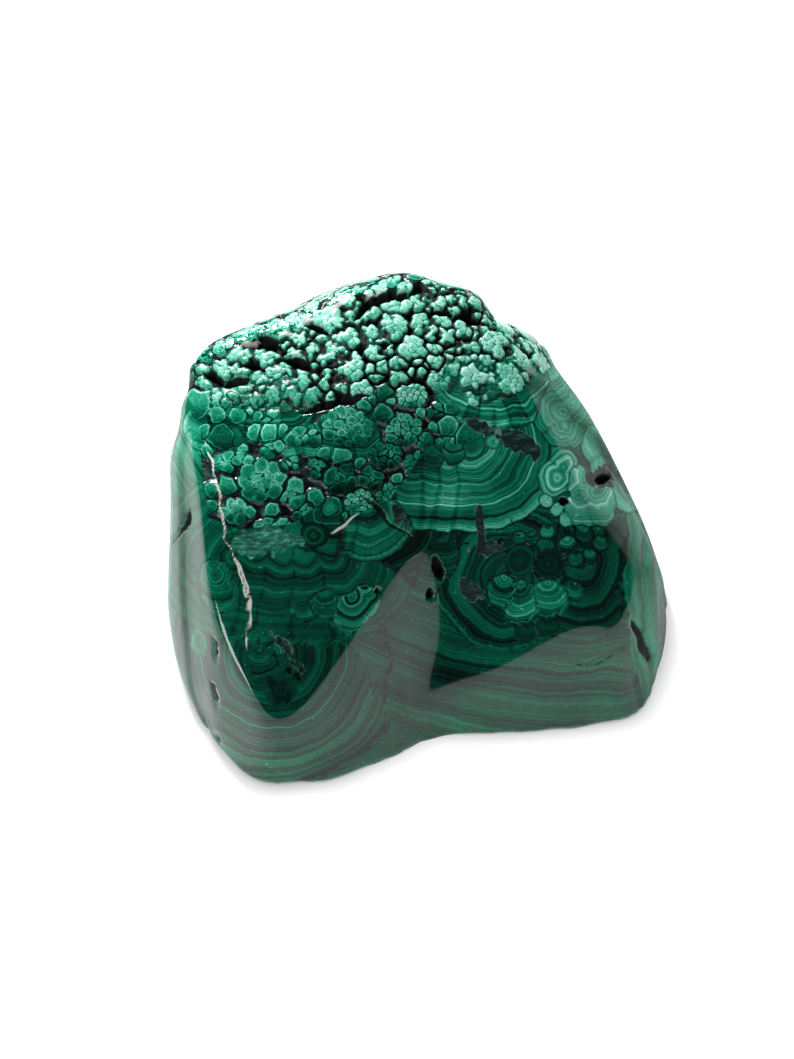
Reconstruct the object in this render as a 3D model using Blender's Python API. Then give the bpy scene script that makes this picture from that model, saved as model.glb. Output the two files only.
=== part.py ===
"""Malachite specimen: one lump of solid malachite, cut flat below and polished all over.

The stone is modelled in millimetres and written to the mesh in metres, +Z up.
Its front faces -Y. It is built in four steps:

1. two convex blocks, each a set of ground facets, joined into one two-lobed body;
2. the body is drawn to its silhouette, as seen from the front and above;
3. natural relief is cut in: the knobbly crust over the top, crevices, pits;
4. the mesh is thinned, keeping triangles where the relief is.
"""

import math

import bmesh
import bpy
import numpy as np

MM = 0.001
NAME = "malachite"
SPHERE_LEVELS = 7           # the stone starts as a sphere of 81,920 triangles
TRIANGLES = 9400            # what the thinned solid keeps

# ---- the leaning view that the silhouette and the relief are laid out on ----
# A sheet point is (across, up) in millimetres, on a plane through SHEET_MIDDLE
# that faces an eye EYE_DISTANCE away, SHEET_LEAN above level.
SHEET_LEAN = math.radians(38.0)
EYE_DISTANCE = 533.0
SHEET_MIDDLE = np.array([-3.5, -7.0, 33.0])
RIGHT = np.array([1.0, 0.0, 0.0])
UP = np.array([0.0, math.sin(SHEET_LEAN), math.cos(SHEET_LEAN)])
AHEAD = np.array([0.0, math.cos(SHEET_LEAN), -math.sin(SHEET_LEAN)])
EYE = SHEET_MIDDLE - AHEAD * EYE_DISTANCE

# ---- the body: ground facets as (name, compass, lean, a point on it) ----
# The compass runs in degrees from +X toward +Y, and lean is how far it faces up.
HEART = np.array([0.0, 4.0, 28.0])      # a point inside, which every facet looks away from
SHARED_FACETS = [
    ("left foot", -161, -20, (-40.5, -28.5, 6.7)),
    ("left wall", -165, 8, (-40.2, -15, 35)),
    ("left side", 176, 4, (-45, 0, 30)),
    ("left back wall", 150, 12, (-38, 24, 35)),
    ("upper front", -82, 44, (0, -14, 43)),
    ("top left", -112, 62, (-20, 0, 58)),
    ("top right", -65, 60, (12, 0, 56)),
    ("top", -90, 67, (-5, 15, 66)),
    ("crest left", 122, 56, (-22.9, 17.6, 64.4)),
    ("crest right", 52, 52, (9.7, 19.9, 65)),
    ("right shoulder", -2, 37, (22.0, 0, 53.2)),
    ("right edge", 18, 22, (35.3, 0.7, 42.9)),
    ("right wall", -10, 4, (46.5, -4, 22)),
    ("right back", 50, 14, (30, 28, 30)),
    ("back", 92, 14, (0, 40, 30)),
    ("back left", 125, 16, (-25, 35, 35)),
]
LEFT_LOBE = [
    ("left foot wall", -134, 3, (-34.2, -33.8, 22)),
    ("front lobe wall", -74, 2, (-16, -39.5, 6)),
    ("hollow side", -52, 17, (-1, -30, 0)),
    ("front left slope", -68, 36, (-25.6, -39.9, 18.4)),
]
RIGHT_LOBE = [
    ("front right wall", -83, 2, (13, -24.8, 3)),
    ("front right slope", -96, 25, (8.8, -25.3, 9.4)),
    ("right front slope", -52, 28, (30, -23, 21)),
    ("right front", -38, 3, (41, -18.5, 14)),
]
FACET_SHARPNESS = 34.0      # higher is a crisper edge between facets
BASE_SHARPNESS = 70.0       # the ground base meets the sides with a tighter edge
LOBE_BLEND = 5.0            # how softly the two lobes run into one another

# The scooped hollow between the lobes: middle, size, the way it faces, depth.
HOLLOW_MIDDLE = np.array([4.0, -30.0, 8.0])
HOLLOW_SIZE = np.array([8.0, 12.0, 20.0])
HOLLOW_COMPASS = -66
HOLLOW_DEPTH = 1.5

# ---- the silhouette on the sheet, as points for a smooth curve, mm ----
SILHOUETTE_MIDDLE = np.array([3.4, -0.1])
SILHOUETTE = [
    (-37.5, 29.6), (-33.2, 34.2), (-27.4, 36.9), (-19.4, 40.0), (-14.3, 42.5), (-9.4, 44.5),
    (-4.0, 45.9), (0.5, 46.8), (4.5, 46.3), (7.2, 45.2), (11.8, 44.1), (15.2, 42.5),
    (17.8, 38.7), (22.3, 36.5), (26.8, 33.4), (29.2, 28.9), (34.1, 22.0), (37.9, 15.3),
    (42.0, 7.2), (44.6, 1.7), (46.7, -3.7), (48.4, -9.2), (48.9, -13.7), (48.6, -20.9),
    (46.7, -27.3), (44.9, -31.8), (41.3, -34.2), (34.1, -35.6), (25.9, -36.5), (16.9, -36.9),
    (9.6, -37.2), (4.2, -38.7), (-0.4, -41.0), (-5.8, -43.2), (-12.1, -45.4), (-19.4, -45.9),
    (-24.5, -45.6), (-27.9, -43.8), (-32.4, -39.0), (-36.2, -33.4), (-38.6, -28.2),
    (-40.4, -21.8), (-41.5, -14.6), (-41.5, -7.3), (-41.1, 1.7), (-41.1, 12.6), (-39.7, 18.0),
    (-39.0, 23.1), (-37.5, 26.2), (-38.1, 28.0),
]
CURVE_STEPS = 12            # points drawn between two silhouette points
BINS = 240                  # the silhouette is compared in steps of 1.5 degrees
LIFT_HEIGHT = 25.0          # below this the body is drawn outward, above it along the sheet
# Each stage: (how smooth the compared outlines are, how near the rim it acts, passes).
FIT_STAGES = [(400, 3.0, 3), (60, 6.0, 2), (3, 14.0, 3)]

# ---- the crust: clusters of round knobs over the top, parted by crevices ----
CRUST_EDGE = [              # its lower edge across the sheet, left to right
    (-42.9, 26.0), (-38.0, 24.0), (-36.2, 21.0), (-35.2, 9.0), (-34.2, 2.0), (-28.4, -0.1),
    (-19.4, 0.8), (-12.1, 5.3), (-9.4, 1.7), (-1.3, 5.3), (6.0, 15.3), (13.2, 15.3),
    (18.7, 18.0), (22.3, 23.5), (26.8, 28.5), (32.3, 32.5),
]
ROUGH_EDGE = [              # above this line the crust stands rough, below it is ground flat
    (-42.9, 27.0), (-36.0, 24.5), (-30.0, 22.5), (-22.0, 21.0), (-14.0, 22.0), (-6.0, 25.0),
    (4.0, 24.5), (9.0, 25.0), (14.0, 22.0), (21.0, 24.0), (25.0, 27.5), (32.3, 32.5),
]
CHAMFER_EDGE = [             # beyond this line the crust is ground to a smooth chamfer
    (-44.8, 28.5), (-37.5, 29.6), (-31.7, 32.2), (-28.4, 33.4), (-24.5, 34.3), (-21.4, 35.6),
    (-18.1, 36.9), (-14.9, 38.3), (-11.2, 40.1), (-7.4, 41.8), (-1.6, 43.8), (2.4, 44.8),
    (7.8, 45.2), (13.2, 43.4), (16.9, 40.5), (18.7, 37.6), (23.2, 35.1), (26.8, 30.3),
    (29.5, 27.1),
]
FLAT_RELIEF = 0.35          # how much of the relief is left where the crust is ground flat
CRUST_FADE = 3.0
KNOB_CLUSTERS = [           # the clusters that stand out, by place on the sheet
    (-33.2, 24.2), (-28.4, 31.6), (-26.8, 35.8), (-21.9, 36.1), (-17.6, 37.8), (-23.9, 31.3),
    (-18.3, 31.8), (-21.4, 28.6), (-11.6, 32.0), (-12.2, 37.8), (-9.1, 34.9), (-0.2, 40.4),
    (2.9, 33.0), (18.1, 34.1), (22.3, 31.4), (20.4, 27.8), (15.0, 27.3), (7.8, 27.5), (-24.5, 8.6),
    (-19.0, 6.3), (-31.7, 12.0), (-28.3, 13.3), (-29.4, 3.5), (-22.5, 0.6), (-8.9, 18.6),
    (1.1, 18.0), (-2.0, 13.5), (-10.0, 9.3), (-17.0, 16.8), (9.1, 15.3), (-14.3, 10.8),
    (-16.5, 3.2), (-4.7, 9.3),
]
CLUSTER_SPACING = 4.9
CLUSTER_SIZES = (0.8, 1.25)     # how much smaller or larger one cluster is than the next
CLUSTER_RADIUS = 3.8
CLUSTER_RISE = 0.9
CLUSTER_SINK = 0.6          # the crust as a whole lies this much below the polished surface
CREVICE_DEPTH = 1.4
CREVICE_WIDTH = 1.0
CRUST_SEED = 11

# ---- crevices and cracks on the sheet: (name, width, depth, points) ----
CREVICES = [
    ("ledge", 1.3, 1.6, [(-17.6, 21.3), (-11.2, 23.1), (-4.9, 24.4)]),
    ("upper left gap", 1.4, 1.7, [(-25.9, 35.4), (-23.0, 34.0), (-20.1, 31.8)]),
    ("left gap", 1.2, 1.5, [(-31.9, 26.4), (-26.1, 27.5)]),
    ("middle gap", 1.3, 1.7, [(-20.3, 31.3), (-17.5, 30.0), (-15.4, 28.5)]),
    ("crest gap", 1.2, 1.5, [(-17.2, 37.6), (-12.1, 35.4)]),
    ("high gap", 1.1, 1.3, [(-8.5, 38.0), (-4.0, 41.6)]),
    ("peak gap", 1.0, 1.2, [(-1.3, 41.6), (2.4, 43.4)]),
    ("right gap", 1.0, 1.2, [(6.0, 39.4), (10.5, 39.4)]),
    ("slanting fissure", 0.7, 0.7, [(-6.5, 6.6), (-4.2, 4.4), (-1.4, 1.4), (3.1, -1.5)]),
    ("left slit", 0.9, 1.3, [(-37.5, 3.9), (-38.2, 1.5), (-41.1, -2.8)]),
    ("right groove", 1.5, 1.5, [(42.8, -16.0), (44.9, -20.9), (46.2, -24.4)]),
    ("right wedge", 0.7, 0.6, [(30.6, -24.2), (35.9, -24.4), (42.2, -19.7)]),
]

# ---- pits on the sheet: (name, across, up, half width, half height, turn, depth) ----
PITS = [
    ("left upper slit", -33.0, -21.7, 0.5, 1.9, -6, 1.6),
    ("left lower slit", -33.0, -30.0, 0.55, 2.3, 8, 1.6),
    ("foot chip", -32.8, -38.0, 1.0, 0.7, -40, 0.8),
    ("right pocket", 37.5, 9.3, 1.6, 0.9, 14, 2.2),
    ("eye pocket", 30.3, 5.2, 0.8, 0.9, 30, 1.6),
    ("cavity", 7.3, -7.0, 0.75, 2.2, 18, 2.0),
    ("lower pit", 5.8, -11.7, 0.7, 1.0, -20, 1.4),
    ("small hole", -3.3, -11.7, 0.4, 0.9, 15, 1.2),
    ("right hollow", 44.8, -4.4, 1.0, 3.6, 4, 0.4),
    ("rimmed pit", -15.0, -22.4, 1.5, 2.7, 28, 0.5),
]
FOOT_HEIGHT = 2.5           # the relief dies away this close to the ground base


def smooth_step(low, high, value):
    """0 below low, 1 above high, and a smooth rise between them."""
    t = np.clip((value - low) / (high - low), 0.0, 1.0)
    return t * t * (3.0 - 2.0 * t)


def facing(compass, lean):
    """The unit vector with this compass direction and lean, in degrees."""
    a = math.radians(compass)
    e = math.radians(lean)
    return np.array([math.cos(a) * math.cos(e), math.sin(a) * math.cos(e), math.sin(e)])


def to_sheet(points):
    """Where each point falls on the sheet, and its distance from the eye."""
    ray = points - EYE
    distance = ray @ AHEAD
    scale = EYE_DISTANCE / distance
    return np.stack([ray @ RIGHT * scale, ray @ UP * scale], axis=1), distance


# ---------------------------------------------------------------- the body

def block_reach(ways, facets):
    """How far one convex block reaches from the heart along each way."""
    crowding = np.zeros(len(ways))
    for _, compass, lean, point in facets:
        normal = facing(compass, lean)
        distance = normal @ (np.array(point, float) - HEART)
        crowding += (np.clip(ways @ normal, 1e-6, None) / distance) ** FACET_SHARPNESS
    sides = crowding ** (1.0 / FACET_SHARPNESS)
    base = np.clip(-ways[:, 2], 1e-6, None) / HEART[2]
    return (sides ** BASE_SHARPNESS + base ** BASE_SHARPNESS) ** (-1.0 / BASE_SHARPNESS)


def body_points(ways):
    """The two lobes joined, with the hollow between them scooped out."""
    left = block_reach(ways, SHARED_FACETS + LEFT_LOBE)
    right = block_reach(ways, SHARED_FACETS + RIGHT_LOBE)
    overlap = np.clip(LOBE_BLEND - np.abs(left - right), 0.0, None)
    reach = np.maximum(left, right) + overlap ** 2 / (4.0 * LOBE_BLEND)
    points = HEART + ways * reach[:, None]
    nearness = np.exp(-(((points - HOLLOW_MIDDLE) / HOLLOW_SIZE) ** 2).sum(axis=1))
    points -= facing(HOLLOW_COMPASS, 0) * (HOLLOW_DEPTH * nearness)[:, None]
    points[:, 2] = np.maximum(points[:, 2], 0.0)
    return points


# ---------------------------------------------------------- the silhouette

def smooth_ring(values, passes):
    """A closed ring of values, evened out."""
    for _ in range(passes):
        values = (np.roll(values, 1) + 2.0 * values + np.roll(values, -1)) / 4.0
    return values


def bin_angles():
    return (np.arange(BINS) + 0.5) / BINS * 2.0 * math.pi - math.pi


def polar(sheet):
    """Angle and radius of sheet points about the silhouette's middle."""
    offset = sheet - SILHOUETTE_MIDDLE
    return np.arctan2(offset[:, 1], offset[:, 0]), np.hypot(offset[:, 0], offset[:, 1])


def silhouette_ring():
    """The wanted radius at each angle, from a smooth curve through SILHOUETTE."""
    corners = np.array(SILHOUETTE)
    before = np.roll(corners, 1, axis=0)
    after = np.roll(corners, -1, axis=0)
    beyond = np.roll(corners, -2, axis=0)
    drawn = []
    for step in range(CURVE_STEPS):
        t = step / CURVE_STEPS
        drawn.append(0.5 * (2 * corners + (after - before) * t
                            + (2 * before - 5 * corners + 4 * after - beyond) * t ** 2
                            + (3 * corners - before - 3 * after + beyond) * t ** 3))
    angle, radius = polar(np.concatenate(drawn))
    order = np.argsort(angle)
    return np.interp(bin_angles(), angle[order], radius[order], period=2.0 * math.pi)


def reached_ring(sheet):
    """The body's own radius at each angle."""
    angle, radius = polar(sheet)
    slot = ((angle + math.pi) / (2.0 * math.pi) * BINS).astype(int) % BINS
    ring = np.zeros(BINS)
    np.maximum.at(ring, slot, radius)
    return ring


def draw_to_silhouette(points):
    """Moves the points, mostly those near the rim, until the silhouette is met."""
    wanted_ring = silhouette_ring()
    angles = bin_angles()
    for smoothness, rim_power, passes in FIT_STAGES:
        wanted_smooth = smooth_ring(wanted_ring, smoothness)
        for _ in range(passes):
            sheet, distance = to_sheet(points)
            reached = smooth_ring(reached_ring(sheet), max(smoothness, 2))
            angle, radius = polar(sheet)
            here = np.interp(angle, angles, reached, period=2.0 * math.pi)
            there = np.interp(angle, angles, wanted_smooth, period=2.0 * math.pi)
            stretch = (there / here - 1.0) * np.clip(radius / here, 0.0, 1.0) ** rim_power
            move = (sheet - SILHOUETTE_MIDDLE) * (stretch * distance / EYE_DISTANCE)[:, None]
            high = smooth_step(0.0, LIFT_HEIGHT, points[:, 2])
            points = points.copy()
            points[:, 0] += move[:, 0]
            points[:, 1] += move[:, 1] * (high * UP[1] + (1.0 - high) / UP[1])
            points[:, 2] += move[:, 1] * high * UP[2]
            points[:, 2] = np.maximum(points[:, 2], 0.0)
    return points


# ---------------------------------------------------------------- the relief

def outward(points, triangles):
    """The unit normal at each point."""
    a, b, c = (points[triangles[:, k]] for k in range(3))
    face = np.cross(b - a, c - a)
    normals = np.zeros_like(points)
    for k in range(3):
        for axis in range(3):
            normals[:, axis] += np.bincount(triangles[:, k], face[:, axis], len(points))
    return normals / np.linalg.norm(normals, axis=1, keepdims=True)


def swell(points, size, seed):
    """A smooth, wandering value from -1 to 1, with lumps about this size."""
    chance = np.random.default_rng(seed)
    total = np.zeros(len(points))
    waves = 7
    for _ in range(waves):
        way = chance.normal(size=3)
        way /= np.linalg.norm(way)
        total += np.cos(points @ way * (2.0 * math.pi / size) + chance.uniform(0, 2 * math.pi))
    return total / waves * 1.6


def show_side(points, normals):
    """1 where the surface faces the sheet's eye, 0 where it faces away."""
    ray = points - EYE
    ray /= np.linalg.norm(ray, axis=1, keepdims=True)
    return smooth_step(0.05, 0.22, -(ray * normals).sum(axis=1))


def above(sheet, edge_line):
    """How far each place lies above a line on the sheet."""
    edge = np.array(edge_line)
    return sheet[:, 1] - np.interp(sheet[:, 0], edge[:, 0], edge[:, 1])


def crust_cover(sheet, shown):
    """1 on the rough crust, less where it is ground flat, 0 on the smooth sides and chamfer."""
    crust = smooth_step(-0.3 * CRUST_FADE, 0.7 * CRUST_FADE, above(sheet, CRUST_EDGE))
    rough = smooth_step(-0.3 * CRUST_FADE, 0.7 * CRUST_FADE, above(sheet, ROUGH_EDGE))
    inside_chamfer = 1.0 - smooth_step(-1.2, 0.2, above(sheet, CHAMFER_EDGE))
    return shown * crust * inside_chamfer * (FLAT_RELIEF + (1.0 - FLAT_RELIEF) * rough)


def place_clusters(points, sheet, shown, crust):
    """Cluster middles and sizes: the ones placed by hand, then seeded ones between."""
    middles = []
    seen = np.flatnonzero(shown > 0.5)
    for place in KNOB_CLUSTERS:
        nearest = np.argmin(((sheet[seen] - place) ** 2).sum(axis=1))
        middles.append(points[seen[nearest]])
    chance = np.random.default_rng(CRUST_SEED)
    for index in chance.permutation(np.flatnonzero(crust > 0.02)):
        gap = ((np.array(middles) - points[index]) ** 2).sum(axis=1).min()
        if gap > CLUSTER_SPACING ** 2:
            middles.append(points[index])
    return np.array(middles), chance.uniform(*CLUSTER_SIZES, len(middles))


def nearest_two(points, middles, sizes):
    """Distances to the nearest and second nearest middle, shorter for a large cluster."""
    first = np.full(len(points), 1e9)
    second = np.full(len(points), 1e9)
    for middle, size in zip(middles, sizes):
        distance = np.linalg.norm(points - middle, axis=1) / size
        second = np.minimum(second, np.maximum(first, distance))
        first = np.minimum(first, distance)
    return first, second


def crust_relief(points, middles, sizes, crust):
    """Domed clusters, with crevices where they part from one another."""
    first, second = nearest_two(points, middles, sizes)
    dome = CLUSTER_RISE * (1.0 - np.clip(first / CLUSTER_RADIUS, 0.0, 1.0) ** 2) - CLUSTER_SINK
    parted = smooth_step(-0.25, 0.35, swell(points, 13.0, 3))
    crevice = 1.0 - smooth_step(0.2 * CREVICE_WIDTH, CREVICE_WIDTH, second - first)
    return crust * (dome - CREVICE_DEPTH * (0.35 + 0.65 * parted) * crevice)


def line_distance(sheet, line):
    """Distance to a run of straight pieces, and how far along it that is, 0 to 1."""
    best = np.full(len(sheet), 1e9)
    place = np.zeros(len(sheet))
    count = len(line) - 1
    for k in range(count):
        start = np.array(line[k])
        along = np.array(line[k + 1]) - start
        t = np.clip((sheet - start) @ along / (along @ along), 0.0, 1.0)
        gap = sheet - start - t[:, None] * along
        distance = np.hypot(gap[:, 0], gap[:, 1])
        place = np.where(distance < best, (k + t) / count, place)
        best = np.minimum(best, distance)
    return best, place


def crevice_relief(sheet):
    """Cracks that narrow and grow shallow toward their ends."""
    depth_here = np.zeros(len(sheet))
    for _, width, depth, line in CREVICES:
        distance, place = line_distance(sheet, line)
        taper = 0.15 + 0.85 * np.sin(math.pi * place) ** 0.6
        inside = 1.0 - smooth_step(0.2, 0.8, distance / (width * taper))
        depth_here = np.maximum(depth_here, depth * inside * taper)
    return -depth_here


def pit_relief(sheet):
    depth_here = np.zeros(len(sheet))
    for _, across, up, half_width, half_height, turn, depth in PITS:
        t = math.radians(turn)
        x = (sheet[:, 0] - across) * math.cos(t) + (sheet[:, 1] - up) * math.sin(t)
        y = (sheet[:, 1] - up) * math.cos(t) - (sheet[:, 0] - across) * math.sin(t)
        radius = np.hypot(x / half_width, y / half_height)
        depth_here = np.maximum(depth_here, depth * (1.0 - smooth_step(0.45, 1.1, radius)))
    return -depth_here


def cut_relief(points, triangles):
    """The body with its crust, crevices and pits."""
    normals = outward(points, triangles)
    sheet, _ = to_sheet(points)
    shown = show_side(points, normals)
    crust = crust_cover(sheet, shown)
    middles, sizes = place_clusters(points, sheet, shown, crust)
    relief = crust_relief(points, middles, sizes, crust)
    relief = np.minimum(relief, relief + shown * crevice_relief(sheet))
    relief = np.minimum(relief, relief + shown * pit_relief(sheet))
    relief *= smooth_step(0.0, FOOT_HEIGHT, points[:, 2])
    points = points + normals * relief[:, None]
    points[:, 2] = np.maximum(points[:, 2], 0.0)
    return points


# ------------------------------------------------------------------ the mesh

def read_points(mesh):
    co = np.zeros(len(mesh.vertices) * 3)
    mesh.vertices.foreach_get("co", co)
    return co.reshape(-1, 3)


def sphere_mesh():
    """A fine sphere, whose points the stone's shape is given to."""
    work = bmesh.new()
    bmesh.ops.create_icosphere(work, subdivisions=SPHERE_LEVELS, radius=1.0)
    mesh = bpy.data.meshes.new(NAME)
    work.to_mesh(mesh)
    work.free()
    return mesh


def shape_stone(mesh):
    """Moves the sphere's points onto the stone."""
    ways = read_points(mesh)
    ways /= np.linalg.norm(ways, axis=1, keepdims=True)
    triangles = np.zeros(len(mesh.polygons) * 3, dtype=np.int32)
    mesh.polygons.foreach_get("vertices", triangles)
    points = draw_to_silhouette(body_points(ways))
    points = cut_relief(points, triangles.reshape(-1, 3))
    mesh.vertices.foreach_set("co", (points * MM).ravel())
    mesh.update()


def thin(stone):
    """Merges triangles where the stone is smooth, down to about TRIANGLES."""
    merge = stone.modifiers.new("merge triangles", "DECIMATE")
    merge.ratio = TRIANGLES / len(stone.data.polygons)


def stand_on_origin(stone):
    """Places the stone with the middle of its base box at the origin."""
    bpy.context.view_layer.update()
    evaluated = stone.evaluated_get(bpy.context.evaluated_depsgraph_get())
    points = read_points(evaluated.data)
    low = points.min(axis=0)
    high = points.max(axis=0)
    stone.location = (-(low[0] + high[0]) / 2.0, -(low[1] + high[1]) / 2.0, -low[2])


def stone_material():
    material = bpy.data.materials.new("malachite")
    material.use_nodes = True
    surface = material.node_tree.nodes["Principled BSDF"]
    surface.inputs["Base Color"].default_value = (0.018, 0.190, 0.105, 1.0)
    surface.inputs["Roughness"].default_value = 0.08
    surface.inputs["Metallic"].default_value = 0.0
    surface.inputs["IOR"].default_value = 1.8
    material.diffuse_color = (0.018, 0.190, 0.105, 1.0)
    return material


def build_stone():
    mesh = sphere_mesh()
    shape_stone(mesh)
    mesh.materials.append(stone_material())
    stone = bpy.data.objects.new(NAME, mesh)
    bpy.context.scene.collection.objects.link(stone)
    thin(stone)
    stand_on_origin(stone)


for old in list(bpy.data.objects):
    bpy.data.objects.remove(old, do_unlink=True)
bpy.context.scene.unit_settings.system = "METRIC"
build_stone()
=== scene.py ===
import math

import bmesh
import bpy
import numpy as np
from mathutils import Matrix, Vector
from mathutils.kdtree import KDTree


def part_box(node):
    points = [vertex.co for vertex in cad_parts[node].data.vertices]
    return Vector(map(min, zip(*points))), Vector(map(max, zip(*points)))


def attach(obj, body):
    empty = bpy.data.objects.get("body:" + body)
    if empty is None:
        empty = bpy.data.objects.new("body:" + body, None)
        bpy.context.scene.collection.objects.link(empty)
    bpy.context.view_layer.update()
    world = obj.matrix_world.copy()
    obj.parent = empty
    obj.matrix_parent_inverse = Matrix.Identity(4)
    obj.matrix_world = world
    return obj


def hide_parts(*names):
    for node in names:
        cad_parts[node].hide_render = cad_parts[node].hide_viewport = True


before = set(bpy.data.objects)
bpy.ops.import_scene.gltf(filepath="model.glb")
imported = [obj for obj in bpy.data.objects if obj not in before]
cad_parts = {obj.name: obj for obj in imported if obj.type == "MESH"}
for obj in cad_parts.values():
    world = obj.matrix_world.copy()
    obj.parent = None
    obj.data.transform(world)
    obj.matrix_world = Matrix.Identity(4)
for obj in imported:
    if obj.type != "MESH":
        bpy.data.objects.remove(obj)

MM = 0.001
NODE = "malachite"
SPHERE_LEVELS = 7           # the stone starts as a sphere of 81,920 triangles
FINE_TRIANGLES = 38500      # this many of them, high on the show side, are split in four
CROWDING = 0.40             # how strongly the sphere's points crowd toward the show side

# ---- the leaning view that the silhouette and the relief are laid out on ----
# A sheet point is (across, up) in millimetres, on a plane through SHEET_MIDDLE
# that faces an eye EYE_DISTANCE away, SHEET_LEAN above level.
SHEET_LEAN = math.radians(38.0)
EYE_DISTANCE = 533.0
SHEET_MIDDLE = np.array([-3.5, -7.0, 33.0])
RIGHT = np.array([1.0, 0.0, 0.0])
UP = np.array([0.0, math.sin(SHEET_LEAN), math.cos(SHEET_LEAN)])
AHEAD = np.array([0.0, math.cos(SHEET_LEAN), -math.sin(SHEET_LEAN)])
EYE = SHEET_MIDDLE - AHEAD * EYE_DISTANCE

# ---- the body: ground facets as (name, compass, lean, a point on it) ----
# The compass runs in degrees from +X toward +Y, and lean is how far it faces up.
HEART = np.array([0.0, 4.0, 28.0])      # a point inside, which every facet looks away from
SHARED_FACETS = [
    ("left foot", -161, -20, (-40.5, -28.5, 6.7)),
    ("left wall", -165, 8, (-40.2, -15, 35)),
    ("left side", 176, 4, (-45, 0, 30)),
    ("left back wall", 150, 12, (-38, 24, 35)),
    ("upper front", -82, 44, (0, -14, 43)),
    ("top left", -112, 62, (-20, 0, 58)),
    ("top right", -65, 60, (12, 0, 56)),
    ("top", -90, 67, (-5, 15, 66)),
    ("crest left", 122, 56, (-22.9, 17.6, 64.4)),
    ("crest right", 52, 52, (9.7, 19.9, 65)),
    ("right shoulder", -2, 37, (22.0, 0, 53.2)),
    ("right edge", 18, 22, (35.3, 0.7, 42.9)),
    ("right wall", -10, 4, (46.5, -4, 22)),
    ("right back", 50, 14, (30, 28, 30)),
    ("back", 92, 14, (0, 40, 30)),
    ("back left", 125, 16, (-25, 35, 35)),
]
LEFT_LOBE = [
    ("left foot wall", -134, 3, (-34.2, -33.8, 22)),
    ("front lobe wall", -74, 2, (-16, -39.5, 6)),
    ("hollow side", -52, 17, (-1, -30, 0)),
    ("front left slope", -68, 36, (-25.6, -39.9, 18.4)),
]
RIGHT_LOBE = [
    ("front right wall", -83, 2, (13, -24.8, 3)),
    ("front right slope", -96, 25, (8.8, -25.3, 9.4)),
    ("right front slope", -52, 28, (30, -23, 21)),
    ("right front", -38, 3, (41, -18.5, 14)),
]
FACET_SHARPNESS = 34.0      # higher is a crisper edge between facets
BASE_SHARPNESS = 70.0       # the ground base meets the sides with a tighter edge
LOBE_BLEND = 5.0            # how softly the two lobes run into one another

# The scooped hollow between the lobes: middle, size, the way it faces, depth.
HOLLOW_MIDDLE = np.array([4.0, -30.0, 8.0])
HOLLOW_SIZE = np.array([8.0, 12.0, 20.0])
HOLLOW_COMPASS = -66
HOLLOW_DEPTH = 1.5

# ---- the silhouette on the sheet, as points for a smooth curve, mm ----
SILHOUETTE_MIDDLE = np.array([3.4, -0.1])
SILHOUETTE = [
    (-37.5, 29.6), (-33.2, 34.2), (-27.4, 36.9), (-19.4, 40.0), (-14.3, 42.5), (-9.4, 44.5),
    (-4.0, 45.9), (0.5, 46.8), (4.5, 46.3), (7.2, 45.2), (11.8, 44.1), (15.2, 42.5),
    (17.8, 38.7), (22.3, 36.5), (26.8, 33.4), (29.2, 28.9), (34.1, 22.0), (37.9, 15.3),
    (42.0, 7.2), (44.6, 1.7), (46.7, -3.7), (48.4, -9.2), (48.9, -13.7), (48.6, -20.9),
    (46.7, -27.3), (44.9, -31.8), (41.3, -34.2), (34.1, -35.6), (25.9, -36.5), (16.9, -36.9),
    (9.6, -37.2), (4.2, -38.7), (-0.4, -41.0), (-5.8, -43.2), (-12.1, -45.4), (-19.4, -45.9),
    (-24.5, -45.6), (-27.9, -43.8), (-32.4, -39.0), (-36.2, -33.4), (-38.6, -28.2),
    (-40.4, -21.8), (-41.5, -14.6), (-41.5, -7.3), (-41.1, 1.7), (-41.1, 12.6), (-39.7, 18.0),
    (-39.0, 23.1), (-37.5, 26.2), (-38.1, 28.0),
]
CURVE_STEPS = 12            # points drawn between two silhouette points
BINS = 240                  # the silhouette is compared in steps of 1.5 degrees
LIFT_HEIGHT = 25.0          # below this the body is drawn outward, above it along the sheet
# Each stage: (how smooth the compared outlines are, how near the rim it acts, passes).
FIT_STAGES = [(400, 3.0, 3), (60, 6.0, 2), (3, 14.0, 3)]

# ---- the crust: clusters of round knobs, parted by crevices ----
CRUST_EDGE = [              # its lower edge across the sheet, left to right
    (-42.9, 26.0), (-38.0, 24.0), (-36.2, 21.0), (-35.2, 9.0), (-34.2, 2.0), (-28.4, -0.1),
    (-19.4, 0.8), (-12.1, 5.3), (-9.4, 1.7), (-1.3, 5.3), (6.0, 15.3), (13.2, 15.3),
    (18.7, 18.0), (22.3, 23.5), (26.8, 28.5), (32.3, 32.5),
]
ROUGH_EDGE = [              # above this line the crust stands rough, below it is polished flat
    (-42.9, 27.0), (-36.0, 24.5), (-30.0, 22.5), (-22.0, 21.0), (-14.0, 22.0), (-6.0, 25.0),
    (4.0, 24.5), (9.0, 25.0), (14.0, 22.0), (21.0, 24.0), (25.0, 27.5), (32.3, 32.5),
]
CHAMFER_EDGE = [             # beyond this line the crust is ground to a smooth chamfer
    (-44.8, 28.5), (-37.5, 29.6), (-31.7, 32.2), (-28.4, 33.4), (-24.5, 34.3), (-21.4, 35.6),
    (-18.1, 36.9), (-14.9, 38.3), (-11.2, 40.1), (-7.4, 41.8), (-1.6, 43.8), (2.4, 44.8),
    (7.8, 45.2), (13.2, 43.4), (16.9, 40.5), (18.7, 37.6), (23.2, 35.1), (26.8, 30.3),
    (29.5, 27.1),
]
CRUST_BACK_HEIGHT = 50.0    # behind the crest the crust ends about this high
CRUST_FADE = 3.0
CRUST_SEED = 11
ROUGH_TONE = 0.80
FLAT_TONE = 0.58
PALER_RIGHTWARD = 0.0020    # step in tone for each millimetre across
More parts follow.
